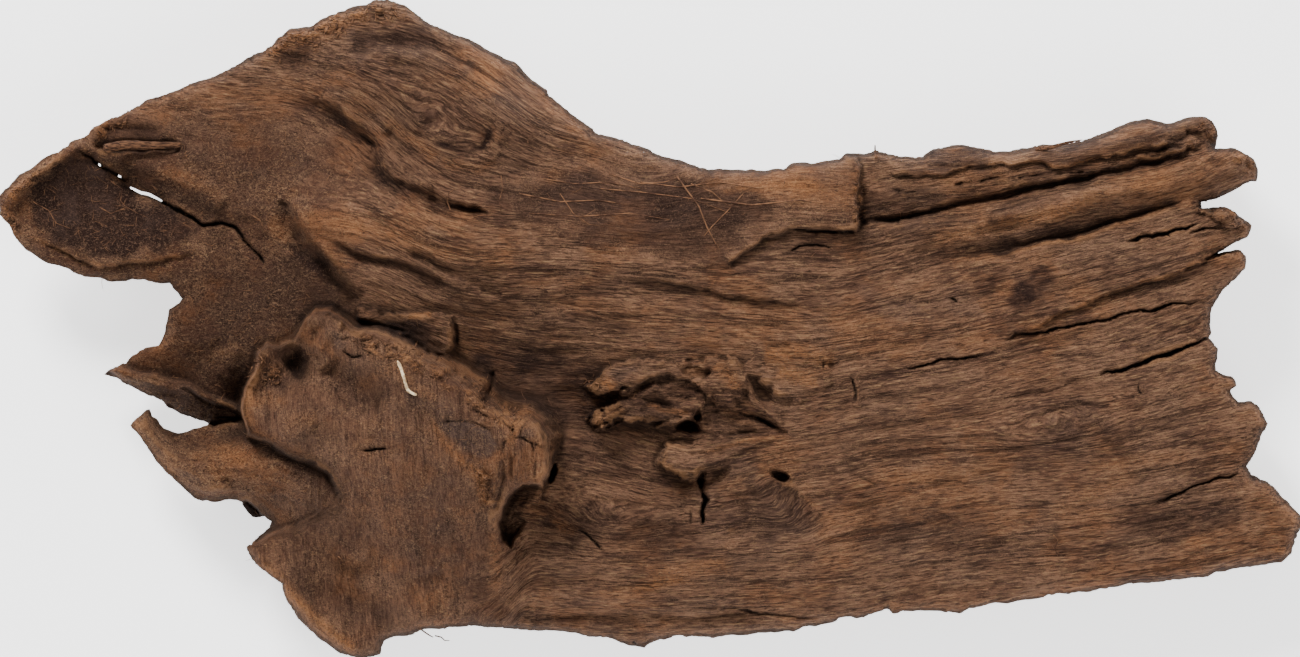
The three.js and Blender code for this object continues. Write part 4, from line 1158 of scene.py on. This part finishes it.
# Golden lines: edges and crests that are worn down to bare wood.
for path, width, amount in (
    ([(-107.5, 36), (-83, 28), (-61.5, 22.5), (-40, 19)], 5.0, 0.35),
    ([(82, 27), (95.5, 29.5), (111.5, 32), (126, 36), (144.5, 42), (163, 47)], 4.5, 0.6),
    ([(-197.5, 35), (-195, 41), (-187.5, 47), (-179.5, 53)], 3.0, 0.5),
    ([(-191.5, 29), (-181.5, 24.5), (-169, 19), (-155, 20), (-141.5, 23)], 1.4, 0.5),
    ([(-169, 34), (-163.5, 31.5), (-158, 30.5)], 3.0, 0.6),
    ([(-158, 28), (-155, 26.5)], 2.0, 0.8),
    ([(41.5, 42), (55.5, 40), (63.5, 38.5)], 7.0, 0.42),
    ([(24.5, 43), (40, 45), (52.5, 44.5)], 3.0, 0.5),
    ([(-121, -6.5), (-122, -16), (-124, -25), (-123, -31)], 4.0, 0.7),
    ([(-123, -29.5), (-119.5, -33.5), (-107.5, -38.5), (-97, -45.5)], 3.0, 0.5),
    ([(-112, -34.5), (-109, -28), (-101.5, -27)], 5.0, 0.3),
    ([(-55.5, -41), (-52.5, -46.5), (-50, -54.5)], 2.6, 1.0),
    ([(-67, -27), (-61.5, -35.5), (-56.5, -43.5)], 2.2, 0.7),
    ([(-47, -28), (-42.5, -27.5), (-41, -31), (-43.5, -35.5)], 2.6, 0.9),
    ([(-48, -62), (-47.5, -71), (-47, -80.5)], 3.0, 0.5),
    ([(-91.5, -19.5), (-83, -14.5), (-77, -13.5), (-64.5, -23)], 3.0, 0.4),
    ([(-120.5, -70.5), (-114, -76), (-108.5, -84), (-98.5, -94), (-89, -99)], 3.6, 0.8),
    ([(-156, -27.5), (-157.5, -32), (-151.5, -40), (-144.5, -46.5)], 2.6, 0.8),
    ([(-142, -39), (-132.5, -37.5), (-123, -41)], 4.0, 0.4),
    ([(-1.5, -75.5), (12.5, -73.5), (26, -72.5)], 4.5, 0.5),
    ([(-6, -80.5), (3, -78), (12.5, -75.5)], 2.5, 0.6),
    ([(34, -8), (46, -8), (58, -11.5)], 6.0, 0.75),
    ([(38.5, -13.5), (46, -16), (52.5, -17)], 4.0, 0.7),
    ([(20, -11), (24.5, -14.5), (26, -19.5)], 3.4, 0.7),
    ([(-18.5, -17.5), (-14, -17), (-11, -19)], 3.0, 1.0),
    ([(-18, -29.5), (-13.5, -27), (-8, -25.5)], 2.0, 0.9),
    ([(-2.5, -22.5), (3, -25), (12.5, -26.5)], 1.2, 0.8),
    ([(15.5, -38), (27.5, -35.5), (43, -33.5)], 1.2, 0.5),
    (drawn_fibres, 1.4, 0.25),
    ([(-30, -59), (-26, -61), (-21, -63)], 3.0, 0.7),
    ([(111, -2.5), (121.5, 2.5), (135.5, 8.5), (146, 12), (159, 16), (172.5, 22)], 1.2, 0.7),
    ([(108.5, 49.5), (120.5, 51), (127.5, 49), (137, 51.5), (149, 54), (159.5, 55)], 1.1, 0.7),
    ([(74, 44.5), (89, 45), (104.5, 47), (120, 48)], 3.0, 0.15),
    ([(89, 20), (104.5, 22.5), (122.5, 25.5), (143, 31), (160.5, 36)], 1.4, 0.5),
    ([(-74.5, 3.5), (-71, 3), (-66.5, 3)], 1.6, 1.0),
    ([(-34, 9), (-15.5, 5), (9, 2)], 5.0, 0.25),
    ([(-55.5, 79), (-51, 75), (-48.5, 70.5)], 7.0, 0.7),
    ([(-83, 64), (-74, 58), (-64.5, 50.5)], 3.5, 0.5),
    ([(-64.5, 50.5), (-52.5, 49), (-46, 50.5)], 2.5, 0.5),
    ([(86, 23.5), (107.5, 20.5), (126, 21.5)], 4.0, 0.2),
    ([(132.5, -43.5), (151, -41), (166, -39)], 4.0, 0.35),
    ([(123, -56.5), (132.5, -53), (141.5, -49), (149.5, -45)], 5.0, 0.35),
    ([
        (-119.5, 81.5), (-113.5, 86.5), (-107.5, 89.5), (-100, 92), (-92.5, 95), (-85.5, 97),
    ], 5.0, 0.55),
    ([(67.5, -43.5), (86, -45.5), (104.5, -43.5)], 4.0, 0.3),
    ([(144.5, -76), (163, -73), (181.5, -69.5)], 3.0, 0.3),
    ([(163, -65), (178.5, -62.5), (194, -62)], 4.0, 0.3),
    ([(191, -66.5), (194.5, -67.5)], 2.0, 0.8),
):
    ridge(golden, path, width, amount)


def at_points(field):
    """A grid field's values at the mesh's points: front, back and wall."""
    flat = field.reshape(-1)
    rim_values = np.tile(flat[rim_ids], WALL_ROWS - 1)
    return np.concatenate([flat[used], flat[used], rim_values])


front_share = np.concatenate(
    [np.ones(count), np.zeros(count), np.repeat(1 - down[:, 0, 0], len(rim_ids))]
)
grain_points = np.stack([at_points(along), at_points(across), points[:, 2]], -1)
on_back = front_share < 0.5
wood.data.attributes.new("grain", "FLOAT_VECTOR", "POINT").data.foreach_set(
    "vector", grain_points.astype(np.float32).ravel()
)


def colour_attribute(name, channels):
    """Four numbers for each point of the wood, as a colour layer that the finish reads."""
    values = np.stack(channels, -1).astype(np.float32)
    new_layer = wood.data.attributes.new(name, "FLOAT_COLOR", "POINT")
    new_layer.data.foreach_set("color", values.ravel())


colour_attribute(
    "tone",
    [
        np.where(on_back, 0.1, at_points(np.clip(golden, 0, 1))),
        np.where(on_back, 0.4, at_points(np.clip(dark, 0, 1))),
        np.where(on_back, 0.1, at_points(np.clip(grey, 0, 1))),
        np.where(on_back, 0.3, at_points(felt)),
    ],
)
# The form layer: crests and creases, broad hollows, and cracks with the shade under lips, for
# painted shade (and rubbed wear on crests) in the finish.
colour_attribute(
    "form",
    [
        np.where(on_back, 0.5, at_points(0.5 + 0.5 * crest)),
        np.where(on_back, 0.5, at_points(0.5 + 0.5 * broad)),
        np.where(on_back, 0, at_points(np.maximum(split, painted_lip_shade))),
        front_share,
    ],
)

# The surface keeps its detail in fewer triangles: flat places are thinned the most.
most_triangles = 192000
if len(faces) * 2 > most_triangles:
    thin = wood.modifiers.new("thin", "DECIMATE")
    thin.ratio = most_triangles / (len(faces) * 2)
    bpy.context.view_layer.objects.active = wood
    wood.select_set(True)
    bpy.ops.object.modifier_apply(modifier=thin.name)

# A flat map of the whole skin: the upper face seen from above fills the map's upper half,
# and the back, seen the same way, its lower half.
loops = np.zeros(len(wood.data.loops), np.int32)
wood.data.loops.foreach_get("vertex_index", loops)
corners = np.zeros(len(wood.data.vertices) * 3, np.float32)
wood.data.vertices.foreach_get("co", corners)
corners = corners.reshape(-1, 3)[loops]
normals = np.zeros(len(wood.data.polygons) * 3, np.float32)
wood.data.polygons.foreach_get("normal", normals)
sizes = np.zeros(len(wood.data.polygons), np.int32)
wood.data.polygons.foreach_get("loop_total", sizes)
faces_down = np.repeat(normals.reshape(-1, 3)[:, 2] < -0.05, sizes)
map_width = 0.412  # metres across the map, a little more than the wood's length
map_place = corners[:, :2] / map_width + (0.5, 0.25)
map_place[:, 1] += np.where(faces_down, 0.0, 0.5)
wood.data.uv_layers.new(name="OFBake").data.foreach_set("uv", map_place.astype(np.float32).ravel())

# The finish: matt brown heartwood. Fine dark vessel lines and paler fibres run along the
# grain, worn edges are rubbed golden, and painted shade darkens creases and hollows and
# turns cracks almost black.
heartwood, tree, shader = new_material("weathered_dark_heartwood", roughness=0.9, specular=0.12)


def add_node(kind, settings=None, **inputs):
    """A shader node with its settings made and its inputs set or linked by name."""
    node = tree.nodes.new(kind)
    for key, value in (settings or {}).items():
        setattr(node, key, value)
    for key, value in inputs.items():
        numbered = key[1:].isdigit()
        socket = node.inputs[int(key[1:]) if numbered else key.replace("_", " ")]
        if isinstance(value, bpy.types.NodeSocket):
            tree.links.new(value, socket)
        else:
            socket.default_value = value
    return node


def maths(operation, a, b=0.0, clamp=False):
    """One arithmetic step."""
    node = add_node("ShaderNodeMath", {"operation": operation, "use_clamp": clamp}, _0=a, _1=b)
    return node.outputs[0]


def mixed(amount, a, b):
    """Two colours mixed by an amount."""
    return add_node("ShaderNodeMix", {"data_type": "RGBA"}, _0=amount, _6=a, _7=b).outputs[2]


def stained(colour, mask, amount, stain):
    """The colour with a stain over it, as strong as the mask times the amount."""
    stain = linear(stain) if isinstance(stain, str) else stain
    return mixed(maths("MULTIPLY", mask, amount, clamp=True), colour, stain)


def between(value, low, high):
    """The value eased from 0 at low to 1 at high."""
    node = add_node(
        "ShaderNodeMapRange",
        {"interpolation_type": "SMOOTHSTEP"},
        _0=value, _1=low, _2=high, _3=0.0, _4=1.0,
    )
    return node.outputs[0]


def streaks(vector, stretch, detail, distortion=0.0):
    """Noise with so many repeats a millimetre along, across and through the grain."""
    scaled = add_node("ShaderNodeVectorMath", {"operation": "MULTIPLY"}, _0=vector, _1=stretch)
    noise = add_node(
        "ShaderNodeTexNoise", Vector=scaled.outputs[0],
        Scale=1.0, Detail=detail, Roughness=0.6, Distortion=distortion,
    )
    return noise.outputs["Fac"]


def place_in_mm():
    """Where a point lies in its object, in millimetres."""
    place = add_node("ShaderNodeTexCoord").outputs["Object"]
    scaled = add_node("ShaderNodeVectorMath", {"operation": "SCALE"}, _0=place, Scale=1000.0)
    return scaled.outputs[0]


grain = add_node("ShaderNodeAttribute", {"attribute_name": "grain"}).outputs["Vector"]
tone = add_node("ShaderNodeAttribute", {"attribute_name": "tone"})
form = add_node("ShaderNodeAttribute", {"attribute_name": "form"})
tone_parts = add_node("ShaderNodeSeparateColor", Color=tone.outputs["Color"])
form_parts = add_node("ShaderNodeSeparateColor", Color=form.outputs["Color"])
golden_amount, dark_and_shade_amount, grey_amount = tone_parts.outputs
felt_amount = tone.outputs["Alpha"]
crest_amount, broad_amount, crack_and_lip_shade = form_parts.outputs
place_mm = place_in_mm()

fine = streaks(grain, (0.24, 2.0, 0.8), 4.0, 0.3)
dashes = streaks(grain, (0.26, 2.4, 0.5), 1.0, 0.2)
medium = streaks(grain, (0.07, 0.75, 0.2), 4.0)
bands = streaks(grain, (0.014, 0.19, 0.05), 3.0)
blotch = streaks(grain, (0.11, 0.27, 0.2), 5.0, 0.6)
fuzz = streaks(place_mm, (1.0, 1.3, 1.0), 3.0, 1.8)
mottle = streaks(place_mm, (0.085, 0.085, 0.07), 5.0)
tint = streaks(place_mm, (0.035, 0.05, 0.05), 6.0)
speckle = streaks(place_mm, (1.1, 1.5, 1.2), 2.0, 1.5)

blend = add_node("ShaderNodeMix", {"data_type": "FLOAT"}, _0=felt_amount, _2=fine, _3=fuzz)
fibre_light = blend.outputs[0]
grained = maths("SUBTRACT", 1.0, maths("MULTIPLY", felt_amount, 0.85), clamp=True)
colour = mixed(between(mottle, 0.38, 0.62), linear("5b3c2e"), linear("775644"))
colour = stained(colour, between(tint, 0.5, 0.62), 0.6, "8e5935")
colour = stained(colour, between(tint, 0.47, 0.36), 0.5, "5c473d")
colour = stained(colour, grained, 0.26, "a67c5e")
band_dark = maths("MULTIPLY", between(bands, 0.5, 0.62), grained)
streak_light = maths("MULTIPLY", between(medium, 0.53, 0.66), grained)
streak_dark = maths("MULTIPLY", between(medium, 0.47, 0.34), grained)
colour = stained(colour, between(blotch, 0.52, 0.64), 0.45, "8c664e")
colour = stained(colour, between(blotch, 0.47, 0.36), 0.5, "402b25")
colour = stained(colour, band_dark, 0.26, "432c26")
colour = stained(colour, streak_light, 0.3, "946f56")
colour = stained(colour, streak_dark, 0.34, "3b2722")
colour = stained(colour, grey_amount, 0.7, "544540")
gold_here = maths("MULTIPLY", golden_amount, between(fuzz, 0.36, 0.52))
colour = stained(colour, gold_here, 0.9, "a66e45")
# The dark tone: the wood's own dark places and stains, and painted shade in gullies, holes and
# under lips.
dark_and_shade_here = maths("MULTIPLY", dark_and_shade_amount, maths("ADD", between(mottle, 0.35, 0.6), 0.9))
colour = stained(colour, dark_and_shade_here, 0.62, "32211b")
worn = between(blotch, 0.35, 0.65)
show = maths("ADD", maths("MULTIPLY", worn, 0.3), 0.42)
colour = stained(colour, between(fibre_light, 0.5, 0.36), show, "241612")
light_fibre = mixed(dark_and_shade_amount, linear("a8835f"), linear("785a47"))
show = maths("ADD", maths("MULTIPLY", worn, -0.3), 0.65)
colour = stained(colour, between(fibre_light, 0.52, 0.67), show, light_fibre)
hairlines = maths("ABSOLUTE", maths("SUBTRACT", streaks(grain, (0.02, 0.5, 0.2), 2.0), 0.5))
hairlines = maths("MULTIPLY", between(hairlines, 0.06, 0.015), between(bands, 0.4, 0.55))
hairlines = maths("MULTIPLY", hairlines, grained)
colour = stained(colour, hairlines, 0.6, "22130d")
grooves = maths("MULTIPLY", between(dashes, 0.56, 0.66), grained)
colour = stained(colour, grooves, 0.42, "221410")
specks = maths("ADD", maths("MULTIPLY", felt_amount, 0.45), 0.25)
specks = maths("MULTIPLY", specks, between(mottle, 0.3, 0.6))
colour = stained(colour, between(speckle, 0.53, 0.66), specks, light_fibre)
colour = stained(colour, between(speckle, 0.47, 0.34), specks, "1f130e")
rubbed = maths("MULTIPLY", between(crest_amount, 0.62, 0.95), between(mottle, 0.45, 0.6))
colour = stained(colour, rubbed, 0.4, "aa7a53")
# Painted shade: creases, broad hollows, cracks and the wood under layers' lips are darkened in the
# colour.
colour = stained(colour, between(crest_amount, 0.42, 0.1), 0.5, "1f130d")
colour = stained(colour, between(broad_amount, 0.42, 0.1), 0.3, "281a14")
colour = stained(colour, crack_and_lip_shade, 0.9, "100a08")
tree.links.new(colour, shader.inputs["Base Color"])
relief = maths("ADD", fibre_light, maths("MULTIPLY", speckle, 0.7))
relief = maths("SUBTRACT", relief, maths("MULTIPLY", grooves, 0.25))
bump = add_node("ShaderNodeBump", Strength=1.0, Distance=0.0017, Height=relief)
tree.links.new(bump.outputs[0], shader.inputs["Normal"])
wood.data.materials.append(heartwood)

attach(wood, "root")
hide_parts("driftwood")

# ---- Loose fibres ---------------------------------------------------------------------
# Root hairs and torn fibres that cling to the felted places, and stiff splinters that stick
# out of the crumbled edges. Each is a thin tapered strand of the same wood, dried brown.
RINGS, SIDES = 7, 4  # rings along a strand and points in each ring


def tube_points(middles, radii):
    """Rings of points round a path, square to it. middles is (tubes x) rings x 3, and radii
    is (tubes x) rings x points in a ring, both in millimetres."""
    run = np.gradient(middles, axis=-2)
    run /= np.maximum(np.linalg.norm(run, axis=-1, keepdims=True), 1e-6)
    sideways = np.cross(run, (0.0, 0.0, 1.0))
    sideways /= np.maximum(np.linalg.norm(sideways, axis=-1, keepdims=True), 1e-6)
    upwards = np.cross(sideways, run)
    turn = (np.arange(radii.shape[-1]) * 2 * np.pi / radii.shape[-1])[:, None]
    around = sideways[..., None, :] * np.cos(turn) + upwards[..., None, :] * np.sin(turn)
    return (middles[..., None, :] + around * radii[..., None]).reshape(-1, 3)


def tube_skin(tubes, rings, sides):
    """The faces between the rings of so many tubes, whose points come ring after ring."""
    low = ((np.arange(tubes) * rings)[:, None, None] + np.arange(rings - 1)[:, None]) * sides
    high, side = low + sides, np.arange(sides)
    following = (side + 1) % sides
    skin = np.stack([high + side, high + following, low + following, low + side], -1)
    return skin.reshape(-1, 4)


def strands(name, middles, radii):
    """Tapered tubes with four sides and square ends, one along each row of middles."""
    n, rings = radii.shape
    start = (np.arange(n) * rings * SIDES)[:, None] + np.arange(SIDES)
    end = start[:, ::-1] + (rings - 1) * SIDES
    points = tube_points(middles, np.repeat(radii[..., None], SIDES, axis=2))
    skin = tube_skin(n, rings, SIDES)
    return quad_mesh(name, placed(points), np.concatenate([skin, start, end]))


def surface_at(x, y):
    """Height of the wood's upper face at these places, between the grid's heights."""
    u = np.clip((x - x_line[0]) / STEP, 0, len(x_line) - 1.001)
    v = np.clip((y - y_line[0]) / STEP, 0, len(y_line) - 1.001)
    i, j = u.astype(int), v.astype(int)
    fu, fv = u - i, v - j
    low = top[j, i] * (1 - fu) + top[j, i + 1] * fu
    high = top[j + 1, i] * (1 - fu) + top[j + 1, i + 1] * fu
    return low * (1 - fv) + high * fv


def scattered(count, weight, seed):
    """Random places on the upper face, more of them where the weight is higher."""
    draw = np.random.default_rng(seed)
    share_of_cell = (weight * (depth_in > 1.0)).ravel()
    cell = draw.choice(share_of_cell.size, count, p=share_of_cell / share_of_cell.sum())
    x = X.ravel()[cell] + draw.uniform(-0.5, 0.5, count) * STEP
    y = Y.ravel()[cell] + draw.uniform(-0.5, 0.5, count) * STEP
    return draw, x, y


def curled(draw, x, y, lengths, thickness_mm, lift, bend=0.9):
    """Strands that start at x, y, run on any heading with a steady bend and rise in an arch."""
    n = len(x)
    t = np.linspace(0, 1, RINGS)
    heading = draw.uniform(0, 2 * np.pi, n)
    turning = draw.normal(0, bend, n)[:, None] * t
    angle = heading[:, None] + turning
    stride = lengths[:, None] / RINGS
    px = x[:, None] + np.cumsum(np.cos(angle) * stride, axis=1)
    py = y[:, None] + np.cumsum(np.sin(angle) * stride, axis=1)
    inside = ease(surface_at(px, py) / 5)
    arch = lift[:, None] * 4 * t * (1 - t)
    pz = surface_at(px, py) * inside + arch + 0.3 * thickness_mm
    return np.stack([px, py, pz], -1), 0.5 * thickness_mm * (1 - 0.7 * t)[None] * np.ones((n, 1))


felted = np.clip(felt, 0, 1) ** 2 * (1 - 0.6 * foot) + 0.03 + 0.15 * knob * ease((X + 60) / 10)
hairs, splinters = 1000, 500
draw, hx, hy = scattered(hairs, felted, 401)
hair_middles, hair_radii = curled(
    draw, hx, hy, draw.uniform(1.0, 5.0, hairs), 0.18, draw.uniform(0.0, 0.6, hairs)
)
draw, sx, sy = scattered(splinters, crumbly + 0.0001, 402)
splinter_middles, splinter_radii = curled(
    draw, sx, sy, draw.uniform(0.8, 2.4, splinters), 0.42,
    draw.uniform(0.1, 0.9, splinters), bend=0.4,
)
# The longer ones that were torn loose one by one: their places along them, and how thick.
LONG_FIBRES = [
    ([(-40, 41), (-27.5, 38.5), (-15.5, 39), (-3, 37)], 0.45),
    ([(-37, 35), (-21.5, 34), (-6, 35), (6, 33)], 0.4),
    ([(-3, 44.5), (9, 43), (21.5, 44.5), (34, 42.5)], 0.45),
    ([(15.5, 39.5), (31, 37.5), (46, 39), (61.5, 37)], 0.5),
    ([(-15.5, 42.5), (-3, 41.5), (12.5, 39.5), (24.5, 35)], 0.4),
    ([(-32.5, 45.5), (-23, 44), (-12.5, 44.5), (-3, 42.5)], 0.4),
    ([(8, 46.5), (15, 37), (17.5, 30.5), (21, 24)], 0.55),
    ([(28.5, 41), (24, 36), (19, 31), (16.5, 28)], 0.4),
    ([(12.5, 44), (19, 41.5), (23.5, 37.5), (27.5, 36.5)], 0.35),
    ([(-45.5, 46.5), (-45, 42.5), (-46, 39), (-45.5, 35)], 0.35),
    ([(-61, 36), (-62, 38.5), (-61.5, 41), (-59.5, 42.5)], 0.4),
    ([(-91.5, 52), (-90.5, 49.5), (-91.5, 47), (-93, 45)], 0.4),
    ([(-95.5, -70), (-94.5, -71), (-95, -73), (-94.5, -75)], 0.45),
    ([(-12.5, 47), (-3, 44), (4.5, 44.5), (12.5, 47)], 0.4),
    ([(-27.5, 41), (-23.5, 35), (-18.5, 31.5), (-14, 31)], 0.3),
    ([(-123, 35), (-119.5, 33), (-117.5, 28.5), (-113, 27)], 0.35),
    ([(-169, 37), (-165.5, 35), (-160.5, 37), (-157, 35)], 0.3),
    ([(-189, 38.5), (-184.5, 36), (-182, 32), (-178, 30.5)], 0.3),
    ([(-165.5, 45), (-162, 42.5), (-162.5, 39), (-160, 36)], 0.3),
    ([(123.5, -63.5), (125, -65), (124, -67.5), (125, -70)], 0.4),
    ([(-71, -92), (-69, -93.5), (-67.5, -94.5), (-66.5, -95)], 0.5),
    ([(-66, -94.5), (-64, -95), (-63, -96), (-61.5, -96)], 0.4),
    ([(69.5, 52), (69, 53), (69, 54.5), (69, 56)], 0.7),
]
long_middles, long_radii = [], []
for line, thick in LONG_FIBRES:
    p = np.array(line, float)
    t = np.linspace(0, len(p) - 1, RINGS)
    lx, ly = np.interp(t, range(len(p)), p[:, 0]), np.interp(t, range(len(p)), p[:, 1])
    lz = np.maximum(surface_at(lx, ly), surface_at(lx, ly).mean() - 1.5) + 0.35 * thick
    long_middles.append(np.stack([lx, ly, lz], -1))
    long_radii.append(0.5 * thick * (1 - 0.5 * np.linspace(0, 1, RINGS) ** 2))
fibres = strands(
    "loose_fibres",
    np.concatenate([hair_middles, splinter_middles, long_middles]),
    np.concatenate([hair_radii, splinter_radii, long_radii]),
)

# Dry root fibre: matt and straw brown, each a little lighter or darker than the next.
straw, tree, shader = new_material("dry_root_fibre", roughness=0.85, specular=0.15)
shade = between(streaks(place_in_mm(), (0.3, 0.3, 0.3), 3.0), 0.35, 0.65)
tree.links.new(mixed(shade, linear("452e22"), linear("7f5a40")), shader.inputs["Base Color"])
fibres.data.materials.append(straw)
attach(fibres, "root")

# ---- Twig, rootlet and splinter -------------------------------------------------------
# A short brown twig wedged in the notch on the left, a pale rootlet stuck to the knob and a
# long splinter lifting off the top plank: each grew there or was torn there.


def stick(name, line, thick_ends, roughness, above, seed):
    """A round stick along a given line, its radius eased between its two ends and
    roughened with noise, lying on the wood or a little above it."""
    p = np.array(line, float)
    rings, sides = 28, 12
    t = np.linspace(0, 1, rings)
    knots = np.linspace(0, 1, len(p))
    x, y = np.interp(t, knots, p[:, 0]), np.interp(t, knots, p[:, 1])
    mean_of_five = np.ones(5) / 5
    x[2:-2], y[2:-2] = (np.convolve(values, mean_of_five, "valid") for values in (x, y))
    radius = thick_ends[0] + (thick_ends[1] - thick_ends[0]) * t
    z = np.interp(t, knots, above) + 0.4 * radius
    turn = np.arange(sides) * 2 * np.pi / sides
    uneven = rough(6 * t[:, None] + 0 * turn, 1.4 * turn + 0 * t[:, None], 3, seed)
    bark = 1 + roughness * uneven
    rounded = np.sqrt(np.clip(1 - (2 * t - 1) ** 16, 0.05, 1))
    points = tube_points(np.stack([x, y, z], -1), (radius * rounded)[:, None] * bark)
    last = (rings - 1) * sides
    half = np.arange(1, sides - 2, 2)
    caps = [np.stack([0 * half, half, half + 1, half + 2], -1),
            last + np.stack([0 * half, half + 2, half + 1, half], -1)]
    return quad_mesh(name, placed(points), np.concatenate([tube_skin(1, rings, sides), *caps]))


def ground(line, lift):
    """The wood's height under each point of a line, with one lift or a lift for each."""
    p = np.array(line, float)
    return surface_at(p[:, 0], p[:, 1]) + np.array(lift, float)


twig_line = [(-167.5, 54.5), (-163.5, 56), (-159.5, 56), (-155, 56), (-149, 56), (-143, 56)]
twig_rise = ground(twig_line, 0).max() + np.array([0.6, 0.4, 0.2, 0, -0.4, -1.2])
twig = stick("wedged_twig", twig_line, (1.6, 1.0), 0.3, twig_rise, 501)
rootlet_line = [(-77, -10), (-76, -12), (-75, -15), (-74, -19), (-72.5, -20), (-71, -20.5)]
rootlet = stick("pale_rootlet", rootlet_line, (0.5, 0.42), 0.2, ground(rootlet_line, 0.3), 502)
splinter_line = [(118, 54.5), (122, 55), (125.5, 56), (129, 57), (132.5, 57.5)]
# The splinter's free end hangs past the edge, so its height is taken from the plank beside it.
beside = [(118, 54.5), (118, 53.5), (119, 53), (119, 53), (119, 53)]
splinter_rise = ground(beside, (0.5, 0.6, 0.8, 1.0, 1.2))
splinter = stick("lifted_splinter", splinter_line, (0.8, 0.18), 0.3, splinter_rise, 503)

# Bleached rootlet: bark long gone, dry and cream, with faint darker clouds.
bleached, tree, shader = new_material("bleached_rootlet", roughness=0.75)
shade = between(streaks(place_in_mm(), (1.0, 1.0, 1.0), 3.0), 0.4, 0.6)
tree.links.new(mixed(shade, linear("b5946a"), linear("e2cca6")), shader.inputs["Base Color"])
rootlet.data.materials.append(bleached)

# Twig bark: the same brown as the fibres, streaked along its length and darker in its grooves.
twig_bark, tree, shader = new_material("dry_twig_bark", roughness=0.9, specular=0.12)
bark_streak = streaks(place_in_mm(), (0.35, 2.2, 2.2), 4.0)
bark_colour = mixed(between(bark_streak, 0.38, 0.62), linear("2e1e17"), linear("6e4d37"))
tree.links.new(bark_colour, shader.inputs["Base Color"])
bark_bump = add_node("ShaderNodeBump", Strength=0.8, Distance=0.0006, Height=bark_streak)
tree.links.new(bark_bump.outputs[0], shader.inputs["Normal"])
for piece in (twig, splinter):
    piece.data.materials.append(twig_bark)
for piece in (twig, rootlet, splinter):
    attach(piece, "root")
